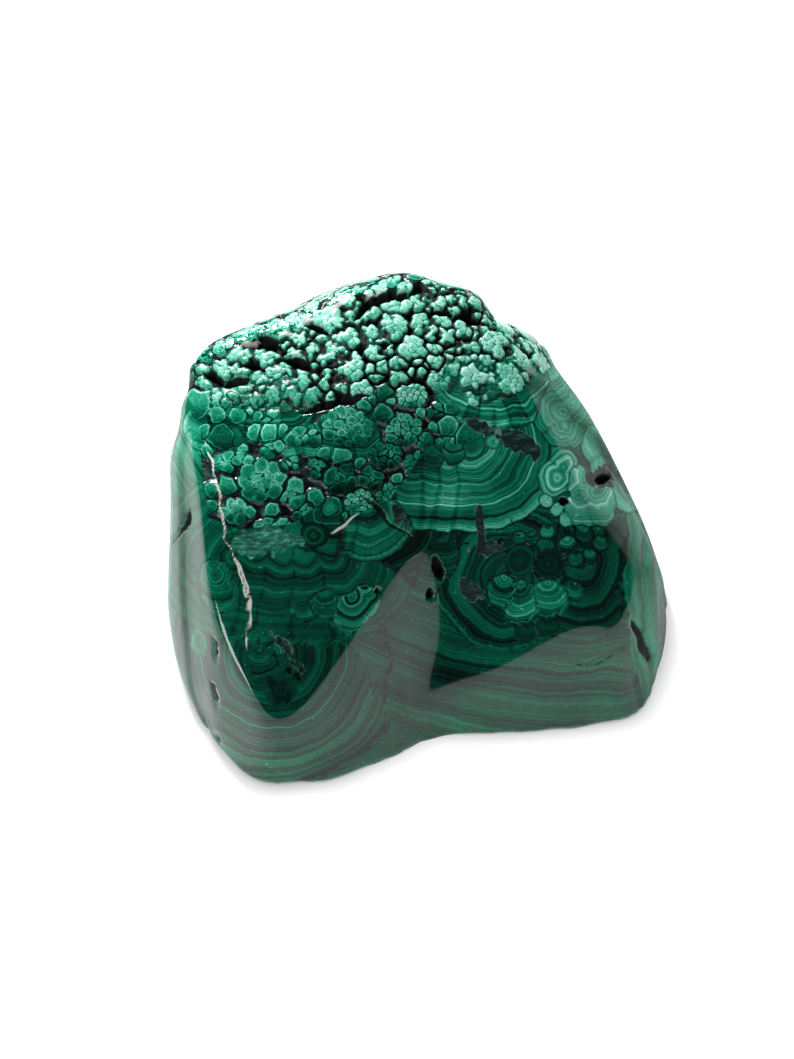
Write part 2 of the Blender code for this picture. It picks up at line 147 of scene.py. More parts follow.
FLAT_BELOW = 24.0           # placed clusters lower than this on the sheet take the flat tone
PLACED_SPREAD = 1.24        # how much wider than given a listed cluster is laid
SEEDED_SPREAD = 1.32
SEEDED = [(2.2, 3.1, 900), (1.4, 2.0, 1600), (0.8, 1.1, 900)]   # (smallest, largest, tries)
SEEDED_ROOM = 0.72          # a seeded cluster fits where this share of its radius is free
KNOB_SIZES = (0.85, 1.15)   # radius of the knobs in a rough cluster, and their variety
KNOB_APART = 1.45           # knobs stand this many radii apart
KNOB_INSET = 0.75           # the outer ring stands this many radii inside the cluster's rim
LONE_KNOB = 1.15            # a cluster smaller than this is one knob
CLUSTER_TONES = (-0.05, 0.11)           # how far tones wander from one cluster to another
KNOB_TONES = (-0.08, 0.06)              # and from one knob to another
NEAREST_KNOBS = 12          # knobs that each point is compared with
GAP_WIDTH = 0.14            # half width of the gaps between clusters

# Clusters that stand rough: (across, up, half width, half height).
CLUSTERS = [
    (-35.5, 26.5, 1.4, 1.1), (-33.2, 24.2, 1.2, 2.2), (-31.3, 23.3, 0.8, 1.4),
    (-29.5, 23.9, 1.3, 1.1), (-31.5, 33.2, 1.6, 1.6), (-28.4, 31.6, 2.2, 1.3),
    (-30.1, 28.9, 3.1, 1.3), (-26.8, 35.8, 2.0, 1.6), (-21.9, 36.1, 2.4, 1.6),
    (-17.6, 37.8, 2.5, 1.3), (-16.4, 40.5, 1.4, 0.9), (-23.9, 31.3, 2.5, 1.1),
    (-17.6, 34.7, 1.8, 1.4), (-15.3, 35.5, 0.9, 0.9), (-18.3, 31.8, 1.9, 1.2),
    (-21.4, 28.6, 2.2, 1.8), (-24.5, 27.6, 1.4, 0.9), (-20.5, 26.9, 1.1, 1.1),
    (-17.2, 27.6, 1.6, 1.6), (-14.7, 27.8, 0.9, 0.9), (-15.3, 29.6, 1.1, 0.6),
    (-11.6, 32.0, 2.5, 2.0), (-12.2, 37.8, 2.5, 2.0), (-9.1, 34.9, 2.4, 1.6),
    (-9.1, 29.6, 2.5, 2.4), (-10.3, 26.5, 1.4, 1.3), (-15.1, 24.0, 1.5, 1.6),
    (-19.1, 24.0, 1.5, 1.6), (-22.8, 23.5, 1.5, 1.7), (-25.9, 23.1, 1.8, 1.4),
    (-27.2, 25.1, 1.4, 0.9), (-24.6, 25.5, 1.1, 0.6), (-8.2, 38.4, 1.4, 1.4),
    (-6.8, 40.3, 1.0, 1.0), (-7.4, 43.6, 1.4, 1.0), (-10.0, 43.4, 1.3, 0.6), (-8.7, 41.6, 1.3, 0.9),
    (-10.5, 41.9, 0.9, 0.8), (1.4, 43.9, 1.4, 0.9), (-3.3, 44.3, 1.3, 1.1), (-0.8, 45.3, 1.3, 0.7),
    (-4.9, 42.9, 1.4, 0.5), (-0.2, 40.4, 2.2, 1.1), (3.8, 41.6, 1.2, 1.2), (5.6, 42.2, 1.1, 1.1),
    (7.4, 41.2, 1.6, 1.6), (5.8, 40.2, 1.1, 0.5), (6.5, 43.4, 0.9, 0.7), (6.0, 44.8, 0.9, 0.9),
    (7.4, 44.4, 0.9, 0.9), (10.0, 41.6, 1.1, 1.1), (10.0, 40.0, 1.1, 1.1), (9.1, 43.6, 0.9, 0.9),
    (12.1, 41.6, 1.1, 1.2), (14.3, 41.4, 1.6, 0.7), (11.5, 43.1, 0.9, 0.7), (15.0, 38.9, 1.0, 0.5),
    (-0.8, 37.2, 2.4, 2.2), (-5.0, 35.6, 1.7, 1.7), (-5.9, 34.2, 0.9, 0.9), (-2.4, 34.5, 1.3, 1.3),
    (-1.4, 32.9, 1.4, 1.1), (4.3, 37.4, 1.6, 1.6), (6.5, 36.1, 1.2, 1.5), (2.9, 33.0, 2.1, 1.9),
    (6.8, 33.0, 1.1, 0.9), (8.8, 35.0, 1.6, 1.6), (9.6, 33.0, 0.8, 0.9), (11.1, 34.0, 0.6, 0.6),
    (12.1, 36.1, 1.4, 1.6), (12.9, 33.4, 1.8, 1.3), (12.8, 31.3, 1.6, 1.0), (7.3, 30.7, 1.4, 1.3),
    (9.1, 31.0, 0.9, 0.9), (18.1, 34.1, 2.7, 2.9), (14.3, 35.6, 0.9, 0.9), (22.0, 34.1, 1.0, 1.1),
    (22.3, 31.4, 2.2, 1.4), (24.6, 33.4, 1.3, 1.6), (16.2, 30.2, 1.7, 1.4), (20.4, 27.8, 2.3, 2.4),
    (15.0, 27.3, 2.9, 2.4), (16.5, 24.9, 1.4, 1.1), (14.0, 24.2, 1.1, 1.1), (23.4, 27.8, 0.8, 0.9),
    (0.1, 30.3, 1.4, 1.4), (0.1, 27.9, 1.6, 1.3), (-2.5, 29.5, 0.9, 0.9), (-5.0, 29.3, 1.1, 0.8),
    (2.9, 28.8, 0.7, 0.7), (5.6, 29.7, 0.5, 0.5), (7.8, 27.5, 2.0, 1.7), (10.0, 28.8, 1.1, 1.1),
    (-6.3, 25.5, 1.6, 1.3),
]

# Clusters ground flat: (across, up, half width, half height, tone, knob radius).
FLORETS = [
    (-24.5, 8.6, 4.3, 3.8, 0.68, 1.7), (-19.0, 6.3, 2.7, 2.5, 0.62, 1.6),
    (-31.7, 12.0, 2.2, 2.0, 0.58, 1.4), (-28.3, 13.3, 1.8, 2.0, 0.55, 1.4),
    (-29.4, 3.5, 3.1, 2.2, 0.6, 1.2), (-22.5, 0.6, 3.3, 1.8, 0.56, 1.3),
    (-32.6, 20.9, 1.6, 1.6, 0.74, 1.4), (-8.9, 18.6, 4.5, 3.8, 0.60, 1.25),
    (1.1, 18.0, 3.1, 3.1, 0.46, 1.15), (-2.0, 13.5, 2.9, 2.5, 0.36, 1.0),
    (7.1, 21.3, 1.8, 1.6, 0.28, 1.4), (-6.0, 22.0, 1.6, 1.4, 0.34, 1.4),
    (-10.0, 9.3, 3.1, 2.7, 0.2, 1.6), (-17.0, 16.8, 3.3, 1.6, 0.55, 1.4),
    (-33.9, 7.2, 1.4, 1.6, 0.5, 1.3), (9.1, 15.3, 1.8, 2.0, 0.38, 0.9),
    (4.9, 16.2, 1.6, 1.8, 0.34, 0.9), (-14.3, 10.8, 1.6, 2.2, 0.3, 1.1),
    (-16.5, 3.2, 2.2, 1.6, 0.4, 1.1), (-4.7, 9.3, 2.0, 2.2, 0.26, 1.1),
]

# Single flat knobs: (across, up, radius, tone).
PEBBLES = [
    (-36.4, 23.3, 2.4, 0.62), (-28.8, 20.9, 1.3, 0.55), (-26.8, 21.4, 1.0, 0.7),
    (-22.6, 21.3, 1.1, 0.7), (-24.9, 20.4, 1.0, 0.5), (-23.6, 19.8, 0.9, 0.5),
    (-25.4, 17.7, 1.4, 0.6), (-23.4, 17.3, 1.6, 0.62), (-20.8, 17.8, 1.1, 0.6),
    (-32.4, 16.6, 2.0, 0.3), (-20.1, 22.4, 1.1, 0.4), (-2.4, 24.9, 1.4, 0.4),
    (-2.5, 21.1, 1.4, 0.4), (9.7, 21.8, 1.1, 0.4), (9.1, 18.8, 1.6, 0.55), (13.4, 16.8, 2.2, 0.4),
    (17.9, 15.9, 1.5, 0.5), (-30.8, 8.1, 1.4, 0.55), (-22.6, 3.5, 1.1, 0.55),
    (-33.9, 14.4, 1.3, 0.5), (-34.8, 18.0, 1.1, 0.5), (-12.0, 3.5, 1.8, 0.35),
    (-14.7, 5.7, 1.3, 0.5), (-10.3, 13.3, 1.4, 0.55), (-13.0, 13.5, 1.1, 0.5),
]

# ---- crevices on the sheet: (name, width, depth, points) ----
CREVICES = [
    ("ledge", 1.3, 1.6, [(-17.6, 21.3), (-11.2, 23.1), (-4.9, 24.4)]),
    ("upper left gap", 1.4, 1.7, [(-25.9, 35.4), (-23.0, 34.0), (-20.1, 31.8)]),
    ("left gap", 1.2, 1.5, [(-31.9, 26.4), (-26.1, 27.5)]),
    ("middle gap", 1.3, 1.7, [(-20.3, 31.3), (-17.5, 30.0), (-15.4, 28.5)]),
    ("crest gap", 1.2, 1.5, [(-17.2, 37.6), (-12.1, 35.4)]),
    ("high gap", 1.1, 1.3, [(-8.5, 38.0), (-4.0, 41.6)]),
    ("peak gap", 1.0, 1.2, [(-1.3, 41.6), (2.4, 43.4)]),
    ("right gap", 1.0, 1.2, [(6.0, 39.4), (10.5, 39.4)]),
    ("slanting fissure", 0.7, 0.7, [(-6.5, 6.6), (-4.2, 4.4), (-1.4, 1.4), (3.1, -1.5)]),
    ("left slit", 0.9, 1.3, [(-37.5, 3.9), (-38.2, 1.5), (-41.1, -2.8)]),
    ("right groove", 1.5, 1.5, [(42.8, -16.0), (44.9, -20.9), (46.2, -24.4)]),
    ("right wedge", 0.7, 0.6, [(30.6, -24.2), (35.9, -24.4), (42.2, -19.7)]),
]

# ---- pits on the sheet: (name, across, up, half width, half height, turn, depth) ----
PITS = [
    ("left upper slit", -33.0, -21.7, 0.32, 1.9, -6, 1.6),
    ("left lower slit", -33.0, -30.0, 0.34, 2.3, 8, 1.6),
    ("foot chip", -32.8, -38.0, 1.0, 0.7, -40, 0.8),
    ("right pocket", 37.5, 9.3, 1.6, 0.9, 14, 2.2),
    ("eye pocket", 30.3, 5.2, 0.8, 0.9, 30, 1.6),
    ("cavity", 7.3, -7.0, 0.75, 2.2, 18, 2.0),
    ("lower pit", 5.8, -11.7, 0.7, 1.0, -20, 1.4),
    ("small hole", -3.3, -11.7, 0.4, 0.9, 15, 1.2),
    ("right hollow", 44.8, -4.4, 1.0, 3.6, 4, 0.4),
    ("rimmed pit", -15.0, -22.4, 1.5, 2.7, 28, 0.5),
]
FOOT_HEIGHT = 2.5           # the relief dies away this close to the ground base
DOME = 0.24                 # height of a knob's dome where the crust is rough
ROUGH_SEAM, ROUGH_GAP = 0.07, 1.6       # depth between knobs, and between clusters
FLAT_SEAM, FLAT_GAP = 0.06, 0.45        # the same where the crust is ground flat
FAR = 5.0                   # a distance that stands for far away

# The banded stone is a patchwork of fans. Each one's bands are rings around its growth
# centres, out to its front, in mm. Lower layers lie over higher ones.
# A ring fan's bands run around its own centres, a scale or skirt fan's around a point above.
# (name, layer, kind, tone, contrast, front, fringe, outline, [(across, up, head start), ...])
# A head start that isn't given is 0.
FANS = [
    ("eye", 0, "ring", 0.52, 0.7, 5.3, 0, 0, [(29.9, 21.5), (31.5, 22.6), (30.4, 18.9, -0.9)]),
    ("big skirt", 0, "skirt", 0.38, 0.9, 6.2, 0.3, 0.3,
     [(13.0, 25.6), (14.9, 24.7), (16.7, 24.2), (18.5, 24.2), (20.3, 24.6), (22.1, 25.6)]),
    ("left skirt", 0, "skirt", 0.36, 0.9, 6.2, 0.5, 0.3,
     [(-27.5, 22.2), (-25.9, 21.8), (-24.3, 21.8), (-22.6, 21.8), (-21.0, 22.2)]),
    ("oval", 0, "skirt", 0.46, 0.8, 3.1, 0.3, 0.5, [(-19.0, 16.2), (-17.4, 16.4), (-15.6, 16.2)]),
    ("ribbed block", 0, "skirt", 0.2, 0.5, 4.7, 0.6, 0,
     [(-34.2, 18.9), (-33.2, 19.1), (-32.1, 19.1), (-30.8, 18.6)]),
    ("middle skirt", 0, "skirt", 0.3, 0.7, 4.5, 0.2, 0.3, [(-10.9, 16.9), (-9.2, 16.6), (-7.4, 16.9)]),
    ("swirl", 0, "ring", 0.66, 0.9, 3.4, 0, 0.3, [(28.8, 9.7), (29.9, 11.5, -0.7)]),
    ("horn", 0, "scale", 0.78, 0.4, 1.4, 0, 0.2, [(27.0, 5.7), (29.0, 3.7), (30.8, 1.5)]),
    ("flame", 0, "scale", 0.72, 0.6, 3.6, 0, 0.1,
     [(35.0, 6.8), (36.4, 4.4), (33.5, 3.2, -0.4), (32.3, 9.0, -1.1)]),
    ("dark lobe 1", 0, "ring", 0.17, 0.3, 3.1, 0, 0.9, [(22.5, -5.5)]),
    ("dark lobe 2", 0, "ring", 0.15, 0.3, 2.9, 0, 0.9, [(27.7, -6.4)]),
    ("nucleus", 0, "ring", 0.66, 0.3, 1.0, 0, 0, [(22.8, -10.2)]),
    ("rosette left", 0, "scale", 0.4, 1.0, 3.1, 0.2, 0.2, [(19.4, -11.3)]),
    ("rosette middle", 0, "scale", 0.42, 1.1, 3.6, 0.2, 0.2, [(22.5, -13.1)]),
    ("rosette right", 0, "scale", 0.4, 1.0, 3.3, 0.2, 0.2, [(27.2, -12.6)]),
    ("rosette small", 0, "scale", 0.38, 0.9, 1.6, 0, 0.1, [(31.9, -11.3)]),
    ("dark oval", 0, "scale", 0.12, 0.3, 2.0, 0, 1.0, [(23.4, -18.0), (27.4, -17.7)]),
    ("round", 0, "ring", 0.48, 0.5, 1.5, 0, 0.1, [(-12.0, 3.9)]),
    ("dark eye", 0, "ring", 0.16, 0.5, 2.5, 0, 0, [(-15.0, -1.0)]),
    ("cap 1", 0, "scale", 0.38, 0.8, 1.3, 0, 0.3, [(22.1, -1.5)]),
    ("cap 2", 0, "scale", 0.38, 0.8, 1.3, 0, 0.3, [(24.6, -1.5)]),
    ("cap 3", 0, "scale", 0.36, 0.8, 1.3, 0, 0.3, [(27.2, -0.5)]),
    ("cap 4", 0, "scale", 0.34, 0.8, 1.6, 0, 0.2, [(30.6, -3.0)]),
    ("cap 5", 0, "scale", 0.34, 0.8, 1.4, 0, 0.2, [(32.1, -5.5)]),
    ("cap 6", 0, "scale", 0.3, 0.8, 1.3, 0, 0.1, [(34.4, -4.8)]),
    ("cap 7", 0, "scale", 0.3, 0.8, 1.4, 0, 0.1, [(36.4, -2.4)]),
    ("cap 8", 0, "scale", 0.3, 0.8, 1.6, 0, 0.1, [(33.5, -0.8)]),
    ("pale cap", 0, "ring", 0.56, 0.6, 1.4, 0, 1.0, [(17.6, 15.5)]),
    ("centre cap 1", 0, "scale", 0.34, 0.7, 2.2, 0.2, 0.4, [(10.5, 14.0)]),
    ("centre cap 2", 0, "scale", 0.34, 0.7, 2.0, 0.2, 0.4, [(6.3, 13.0)]),
    ("centre cap 3", 0, "scale", 0.32, 0.7, 2.0, 0.2, 0.4, [(2.7, 12.2)]),
    ("centre cap 4", 0, "scale", 0.34, 0.7, 2.2, 0.2, 0.4, [(14.0, 14.9)]),
    ("low rosette 1", 0, "ring", 0.34, 0.8, 1.3, 0, 0.3, [(-25.9, -19.5)]),
    ("low rosette 2", 0, "scale", 0.22, 0.8, 2.9, 0, 0.1, [(-24.5, -24.2)]),
    ("low rosette 3", 0, "ring", 0.14, 0.6, 2.5, 0, 0.1, [(-21.2, -29.3)]),
    ("crescent", 0, "scale", 0.4, 1.1, 3.8, 0.3, 0.1, [(-8.5, -14.9), (-6.0, -13.1, -0.7)]),
    ("scallop 1", 0, "scale", 0.3, 0.7, 2.5, 0.2, 0.3, [(-13.2, -13.5)]),
    ("scallop 2", 0, "scale", 0.26, 0.7, 2.2, 0.2, 0.3, [(-17.0, -14.8)]),
    ("ridge fan", 0, "scale", 0.3, 0.8, 3.3, 0.2, 0, [(-32.4, -11.3), (-32.8, -8.8)]),
    ("wall oval", 0, "ring", 0.46, 0.5, 1.8, 0, 0, [(-35.9, -21.3), (-35.9, -19.7)]),
    ("left fan", 1, "ring", 0.38, 0.8, 9.8, 0.5, 0.5, [(-5.6, 4.1), (-8.2, 3.4, -1.1)]),
    ("column fan", 1, "ring", 0.32, 0.8, 10.9, 0.4, 0.4, [(-3.1, 10.8), (-6.3, 10.8)]),
    ("main fan", 1, "ring", 0.43, 1.0, 15.2, 0.25, 0,
     [(2.7, 15.1), (6.0, 15.1), (9.2, 14.9), (13.8, 15.5, 0.9)]),
    ("middle column", 1, "ring", 0.22, 0.8, 9.1, 0.2, 0.3, [(-11.4, 3.9), (-13.6, 3.2, -1.4)]),
    ("slope fan", 2, "ring", 0.29, 0.5, 15.9, 0.3, 0.1,
     [(-29.2, -4.8, -1.4), (-25.2, -4.1), (-20.8, -4.4, 0.7), (-16.7, -4.1, 1.1), (-12.1, -4.4)]),
    ("under fan", 2, "ring", 0.15, 1.0, 15.9, 0.2, 0.4, [(-4.5, 4.1), (-8.2, 3.4, -1.1)]),
    ("notch fan", 2, "scale", 0.22, 0.6, 6.5, 0, 0.5, [(7.8, -5.5)]),
    ("rosette surround", 2, "ring", 0.22, 0.6, 13.0, 0.3, 0.1, [(19.9, -8.8)]),
    ("dark ground", 2, "scale", 0.2, 0.5, 7.8, 0, 0.1, [(33.0, -12.8), (34.0, -5.5)]),
    ("wall arcs", 2, "scale", 0.58, 0.7, 5.1, 0, 0, [(-37.1, -7.3)]),
    ("upper wall", 2, "ring", 0.6, 0.6, 11.0, 0, 0, [(44.5, 17.0), (45.5, 13.0)]),
    ("shoulder", 2, "ring", 0.62, 0.6, 8.3, 0, 0.1, [(27.4, 30.3), (25.9, 32.5)]),
    ("left flow", 3, "ring", 0.24, 0.62, 24.5, 0, 0, [(-22.5, -22.7)]),
    ("left wall flow", 3, "ring", 0.62, 0.6, 34.4, 0, 0, [(-67.9, 5.3)]),
    ("right wall flow", 2, "ring", 0.48, 0.45, 79.3, 0, 0, [(120.5, -8.0)]),
    ("right flow", 3, "ring", 0.26, 0.58, 94.2, 0, 0, [(31.3, 52.8)]),
]
LAYERS = 4
SCALE_LIFT = 0.8            # the height of a scale's or skirt's point above a centre, in fronts
PHASE_STEP = 7.3            # each fan's bands start this much further along the noise, mm
BACK_FRONTS = [(2.0, 4.0), (5.0, 9.0), (9.0, 16.0)]     # seeded fans of the sides and back
BACK_FANS = 14              # of each of these sizes
BACK_PHASE_STEP = 5.1
BACK_SEED = 5

# Smooth swells that places are shifted by, each as (shift, size of its lumps, seed), mm.
CUT_SWELLS = [(0.45, 4.2, 61), (0.14, 1.3, 71)]     # for crevices and pits
KNOB_SWELLS = [(0.32, 3.0, 85), (0.10, 1.2, 88)]
LINE_SWELLS = [(0.30, 2.6, 91)]
BAND_SWELLS = [(0.55, 12.0, 20), (0.30, 4.2, 25), (0.10, 1.5, 30)]
SWELL_WAVES = 7             # cosine waves added up in a swell
SWELL_GAIN = 1.6            # brings a swell to about -1 to 1

# Light and dark stretches on the sheet: (name, across, up, half width, half height, step).
TONES = [
    ("left wall top", -39.5, 16.0, 5.0, 9.0, 0.38),
    ("bright bands", 9.4, 5.8, 7.5, 2.6, 0.30),
    ("dark top of the fan", 4.0, 11.0, 4.0, 2.2, -0.16),
    ("dark belt", 13.5, 4.6, 2.4, 3.4, -0.12),
    ("under the fan", 10.0, 2.0, 6.0, 1.2, -0.14),
    ("foot", 15.0, -34.0, 24.0, 2.5, 0.10),
    ("valley blotch", 11.0, -27.0, 5.5, 2.2, -0.22),
    ("valley middle", -2.0, -20.0, 2.4, 8.0, -0.08),
]

# The side walls are duller: how much they face that way where it starts and where it is full.
SATIN_RIGHT = (0.60, 0.78)
SATIN_LEFT = (0.80, 0.95)

# Dull slate-grey rock between the green: (name, across, up, half width, half height, turn).
SLATE = [
    ("slate by the eye", 22.4, 15.6, 4.4, 1.9, -30),
    ("slate lens", 14.5, 19.0, 3.2, 1.1, -18),
    ("slate pocket", 37.3, 9.6, 3.6, 1.9, 14),
    ("slate spike", 15.2, 0.6, 0.7, 3.6, 8),
    ("slate notch", 13.4, -11.0, 2.4, 1.3, -35),
    ("slate knot", 15.8, -3.6, 2.6, 1.4, 10),
    ("slate wedge", -19.9, -22.0, 1.0, 3.4, 38),
    ("slate band", 0.8, 2.5, 0.8, 2.3, 28),
]
SCRATCHED = [("scratched patch", -24.3, -2.2, 6.4, 2.4, 4)]

# Pale lines: the ridge line, ridge chip and fleck are bruised, worn edges with a painted highlight along
# them, and the crest lines are painted highlights along the crest edge: (name, half width, points on the
# sheet).
GLINTS_AND_BRUISES = [
    ("ridge line", 0.27, [(-35.2, 17.5), (-34.2, 13.5), (-33.5, 12.2), (-32.3, 7.2), (-31.9, 4.8),
                          (-31.0, -1.9), (-29.2, -6.1)]),
    ("ridge chip", 0.62, [(-30.1, -4.1), (-27.9, -8.6), (-26.8, -12.8), (-26.8, -17.8), (-27.4, -22.2)]),
    ("fleck", 0.27, [(-12.0, -0.8), (-9.4, 0.8), (-6.9, 3.0)]),
    ("crest line 1", 0.25, [(-28.8, 33.2), (-24.5, 34.5)]),
    ("crest line 2", 0.25, [(-21.6, 35.4), (-19.2, 35.8)]),
    ("crest line 3", 0.25, [(-18.3, 36.7), (-14.7, 38.5)]),
    ("crest line 4", 0.29, [(-14.7, 39.2), (-11.1, 40.7), (-7.4, 41.9)]),
    ("crest line 5", 0.24, [(-6.2, 41.8), (-1.4, 43.9)]),
]

# Dark broken cracks in the polished stone, in the same form.
CRACKS = [
    ("valley crack", 0.35, [(-1.6, -14.4), (-2.0, -20.0), (-1.1, -23.6), (-2.0, -28.0), (-2.4, -33.8),
                            (-2.0, -36.9)]),
    ("low crack", 0.45, [(-24.1, -20.0), (-21.0, -24.5), (-17.5, -27.0), (-14.8, -27.3)]),
    ("left wall crack", 0.2, [(-33.4, -27.6), (-32.8, -33.4), (-33.8, -36.4)]),
    ("rosette crack", 0.22, [(9.0, -3.9), (13.6, -2.4), (17.6, -3.2), (20.0, -1.0), (25.0, -1.4)]),
    ("fan crack", 0.22, [(19.4, 3.4), (21.4, 1.0), (24.5, 1.6), (27.0, 0.4), (31.0, 0.8), (36.6, -0.6)]),
]


def smooth_step(low, high, value):
    """0 below low, 1 above high, and a smooth rise between them."""
    t = np.clip((value - low) / (high - low), 0.0, 1.0)
    return t * t * (3.0 - 2.0 * t)


def unit(vectors):
    """The rows, each made one long."""
    return vectors / np.linalg.norm(vectors, axis=1, keepdims=True)


def facing(compass, lean):
    """The unit vector with this compass direction and lean, in degrees."""
    a = math.radians(compass)
    e = math.radians(lean)
    return np.array([math.cos(a) * math.cos(e), math.sin(a) * math.cos(e), math.sin(e)])


def to_sheet(points):
    """Where each point falls on the sheet, and how far ahead of the eye it is."""
    ray = points - EYE
    distance = ray @ AHEAD
    scale = EYE_DISTANCE / distance
    return np.stack([ray @ RIGHT * scale, ray @ UP * scale], axis=1), distance


# ---- the body ----

def block_reach(ways, facets):
    """How far one convex block reaches from the heart along each way."""
    crowding = np.zeros(len(ways))
    for _, compass, lean, point in facets:
        normal = facing(compass, lean)
        distance = normal @ (np.array(point, float) - HEART)
        crowding += (np.clip(ways @ normal, 1e-6, None) / distance) ** FACET_SHARPNESS
    sides = crowding ** (1.0 / FACET_SHARPNESS)
    base = np.clip(-ways[:, 2], 1e-6, None) / HEART[2]
    return (sides ** BASE_SHARPNESS + base ** BASE_SHARPNESS) ** (-1.0 / BASE_SHARPNESS)


def body_points(ways):
    """The two lobes joined, with the hollow between them scooped out."""
    left = block_reach(ways, SHARED_FACETS + LEFT_LOBE)
    right = block_reach(ways, SHARED_FACETS + RIGHT_LOBE)
    overlap = np.clip(LOBE_BLEND - np.abs(left - right), 0.0, None)
    reach = np.maximum(left, right) + overlap ** 2 / (4.0 * LOBE_BLEND)
    points = HEART + ways * reach[:, None]
    nearness = np.exp(-(((points - HOLLOW_MIDDLE) / HOLLOW_SIZE) ** 2).sum(axis=1))
    points -= facing(HOLLOW_COMPASS, 0) * (HOLLOW_DEPTH * nearness)[:, None]
    points[:, 2] = np.maximum(points[:, 2], 0.0)
    return points


# ---- the silhouette ----

def smooth_ring(values, passes):
    """A closed ring of values, evened out."""
    for _ in range(passes):
        values = (np.roll(values, 1) + 2.0 * values + np.roll(values, -1)) / 4.0
    return values


def bin_angles():
    return (np.arange(BINS) + 0.5) / BINS * 2.0 * math.pi - math.pi


def polar(sheet):
    """Angle and radius of sheet points about the silhouette's middle."""
    offset = sheet - SILHOUETTE_MIDDLE
    return np.arctan2(offset[:, 1], offset[:, 0]), np.hypot(offset[:, 0], offset[:, 1])


def silhouette_ring():
    """The wanted radius at each angle, from a smooth curve through SILHOUETTE."""
    corners = np.array(SILHOUETTE)
    before = np.roll(corners, 1, axis=0)
    after = np.roll(corners, -1, axis=0)
    beyond = np.roll(corners, -2, axis=0)
    drawn = []
    for step in range(CURVE_STEPS):
        t = step / CURVE_STEPS
        drawn.append(0.5 * (2 * corners + (after - before) * t
                            + (2 * before - 5 * corners + 4 * after - beyond) * t ** 2
                            + (3 * corners - before - 3 * after + beyond) * t ** 3))
    angle, radius = polar(np.concatenate(drawn))
    order = np.argsort(angle)
    return np.interp(bin_angles(), angle[order], radius[order], period=2.0 * math.pi)


def reached_ring(sheet):
    """The body's own radius at each angle."""
    angle, radius = polar(sheet)
    slot = ((angle + math.pi) / (2.0 * math.pi) * BINS).astype(int) % BINS
    ring = np.zeros(BINS)
    np.maximum.at(ring, slot, radius)
    return ring


def draw_to_silhouette(points):
    """Moves the points, mostly those near the rim, until the silhouette is met."""
    wanted_ring = silhouette_ring()
    angles = bin_angles()
    for smoothness, rim_power, passes in FIT_STAGES:
        wanted_smooth = smooth_ring(wanted_ring, smoothness)
        for _ in range(passes):
            sheet, distance = to_sheet(points)
            reached = smooth_ring(reached_ring(sheet), max(smoothness, 2))
            angle, radius = polar(sheet)
            here = np.interp(angle, angles, reached, period=2.0 * math.pi)
            there = np.interp(angle, angles, wanted_smooth, period=2.0 * math.pi)
            stretch = (there / here - 1.0) * np.clip(radius / here, 0.0, 1.0) ** rim_power
            move = (sheet - SILHOUETTE_MIDDLE) * (stretch * distance / EYE_DISTANCE)[:, None]
            high = smooth_step(0.0, LIFT_HEIGHT, points[:, 2])
            points = points.copy()
            points[:, 0] += move[:, 0]
            points[:, 1] += move[:, 1] * (high * UP[1] + (1.0 - high) / UP[1])
            points[:, 2] += move[:, 1] * high * UP[2]
            points[:, 2] = np.maximum(points[:, 2], 0.0)
    return points


# ---- the relief ----

def face_ways(points, triangles):
    """The way each triangle faces, as long as twice its area."""
    a, b, c = (points[triangles[:, k]] for k in range(3))
    return np.cross(b - a, c - a)


def outward(points, triangles):
    """The unit normal at each point."""
    face = face_ways(points, triangles)
    normals = np.zeros_like(points)
    for k in range(3):
        for axis in range(3):
            normals[:, axis] += np.bincount(triangles[:, k], face[:, axis], len(points))
    return unit(normals)


def toward_eye(points, normals):
    """How squarely the sheet's eye sees each point: 1 head on, 0 edge on."""
    return -(unit(points - EYE) * normals).sum(axis=1)


def swell(points, size, seed):
    """A smooth, wandering value from -1 to 1, with lumps about this size."""
    chance = np.random.default_rng(seed)
    total = np.zeros(len(points))
    for _ in range(SWELL_WAVES):
        way = chance.normal(size=3)
        way /= np.linalg.norm(way)
        total += np.cos(points @ way * (2.0 * math.pi / size) + chance.uniform(0, 2 * math.pi))
    return total / SWELL_WAVES * SWELL_GAIN


def shifted(places, points, swells):
    """The places, with every coordinate shifted by the swells at the points."""
    moved = places.copy()
    for axis in range(places.shape[1]):
        for shift, size, seed in swells:
            moved[:, axis] += shift * swell(points, size, seed + axis)
    return moved


def shifted_sheet(sheet, swells):
    """Sheet places, shifted by swells across the sheet, so that lines and rims are uneven."""
    return shifted(sheet, np.column_stack([sheet, np.zeros(len(sheet))]), swells)


def line_distance(sheet, line):
    """Distance to a run of straight pieces, and how far along it that is, 0 to 1."""
    best = np.full(len(sheet), 1e9)
    place = np.zeros(len(sheet))
    count = len(line) - 1
    for k in range(count):
        start = np.array(line[k])
        along = np.array(line[k + 1]) - start
        t = np.clip((sheet - start) @ along / (along @ along), 0.0, 1.0)
        gap = sheet - start - t[:, None] * along
        distance = np.hypot(gap[:, 0], gap[:, 1])
        place = np.where(distance < best, (k + t) / count, place)
        best = np.minimum(best, distance)
    return best, place


def turned_radius(sheet, across, up, half_width, half_height, turn):
    """Radius in a turned ellipse on the sheet: 1 on its rim."""
    t = math.radians(turn)
    x = (sheet[:, 0] - across) * math.cos(t) + (sheet[:, 1] - up) * math.sin(t)
    y = (sheet[:, 1] - up) * math.cos(t) - (sheet[:, 0] - across) * math.sin(t)
    return np.hypot(x / half_width, y / half_height)


def crevice_depth(sheet):
    """How deep the crevices are at each place, mm."""
    deepest = np.zeros(len(sheet))
    for _, width, depth, line in CREVICES:
        distance, place = line_distance(sheet, line)
        taper = 0.15 + 0.85 * np.sin(math.pi * place) ** 0.6
        inside = 1.0 - smooth_step(0.2, 0.8, distance / (width * taper))
        deepest = np.maximum(deepest, depth * inside * taper)
    return deepest


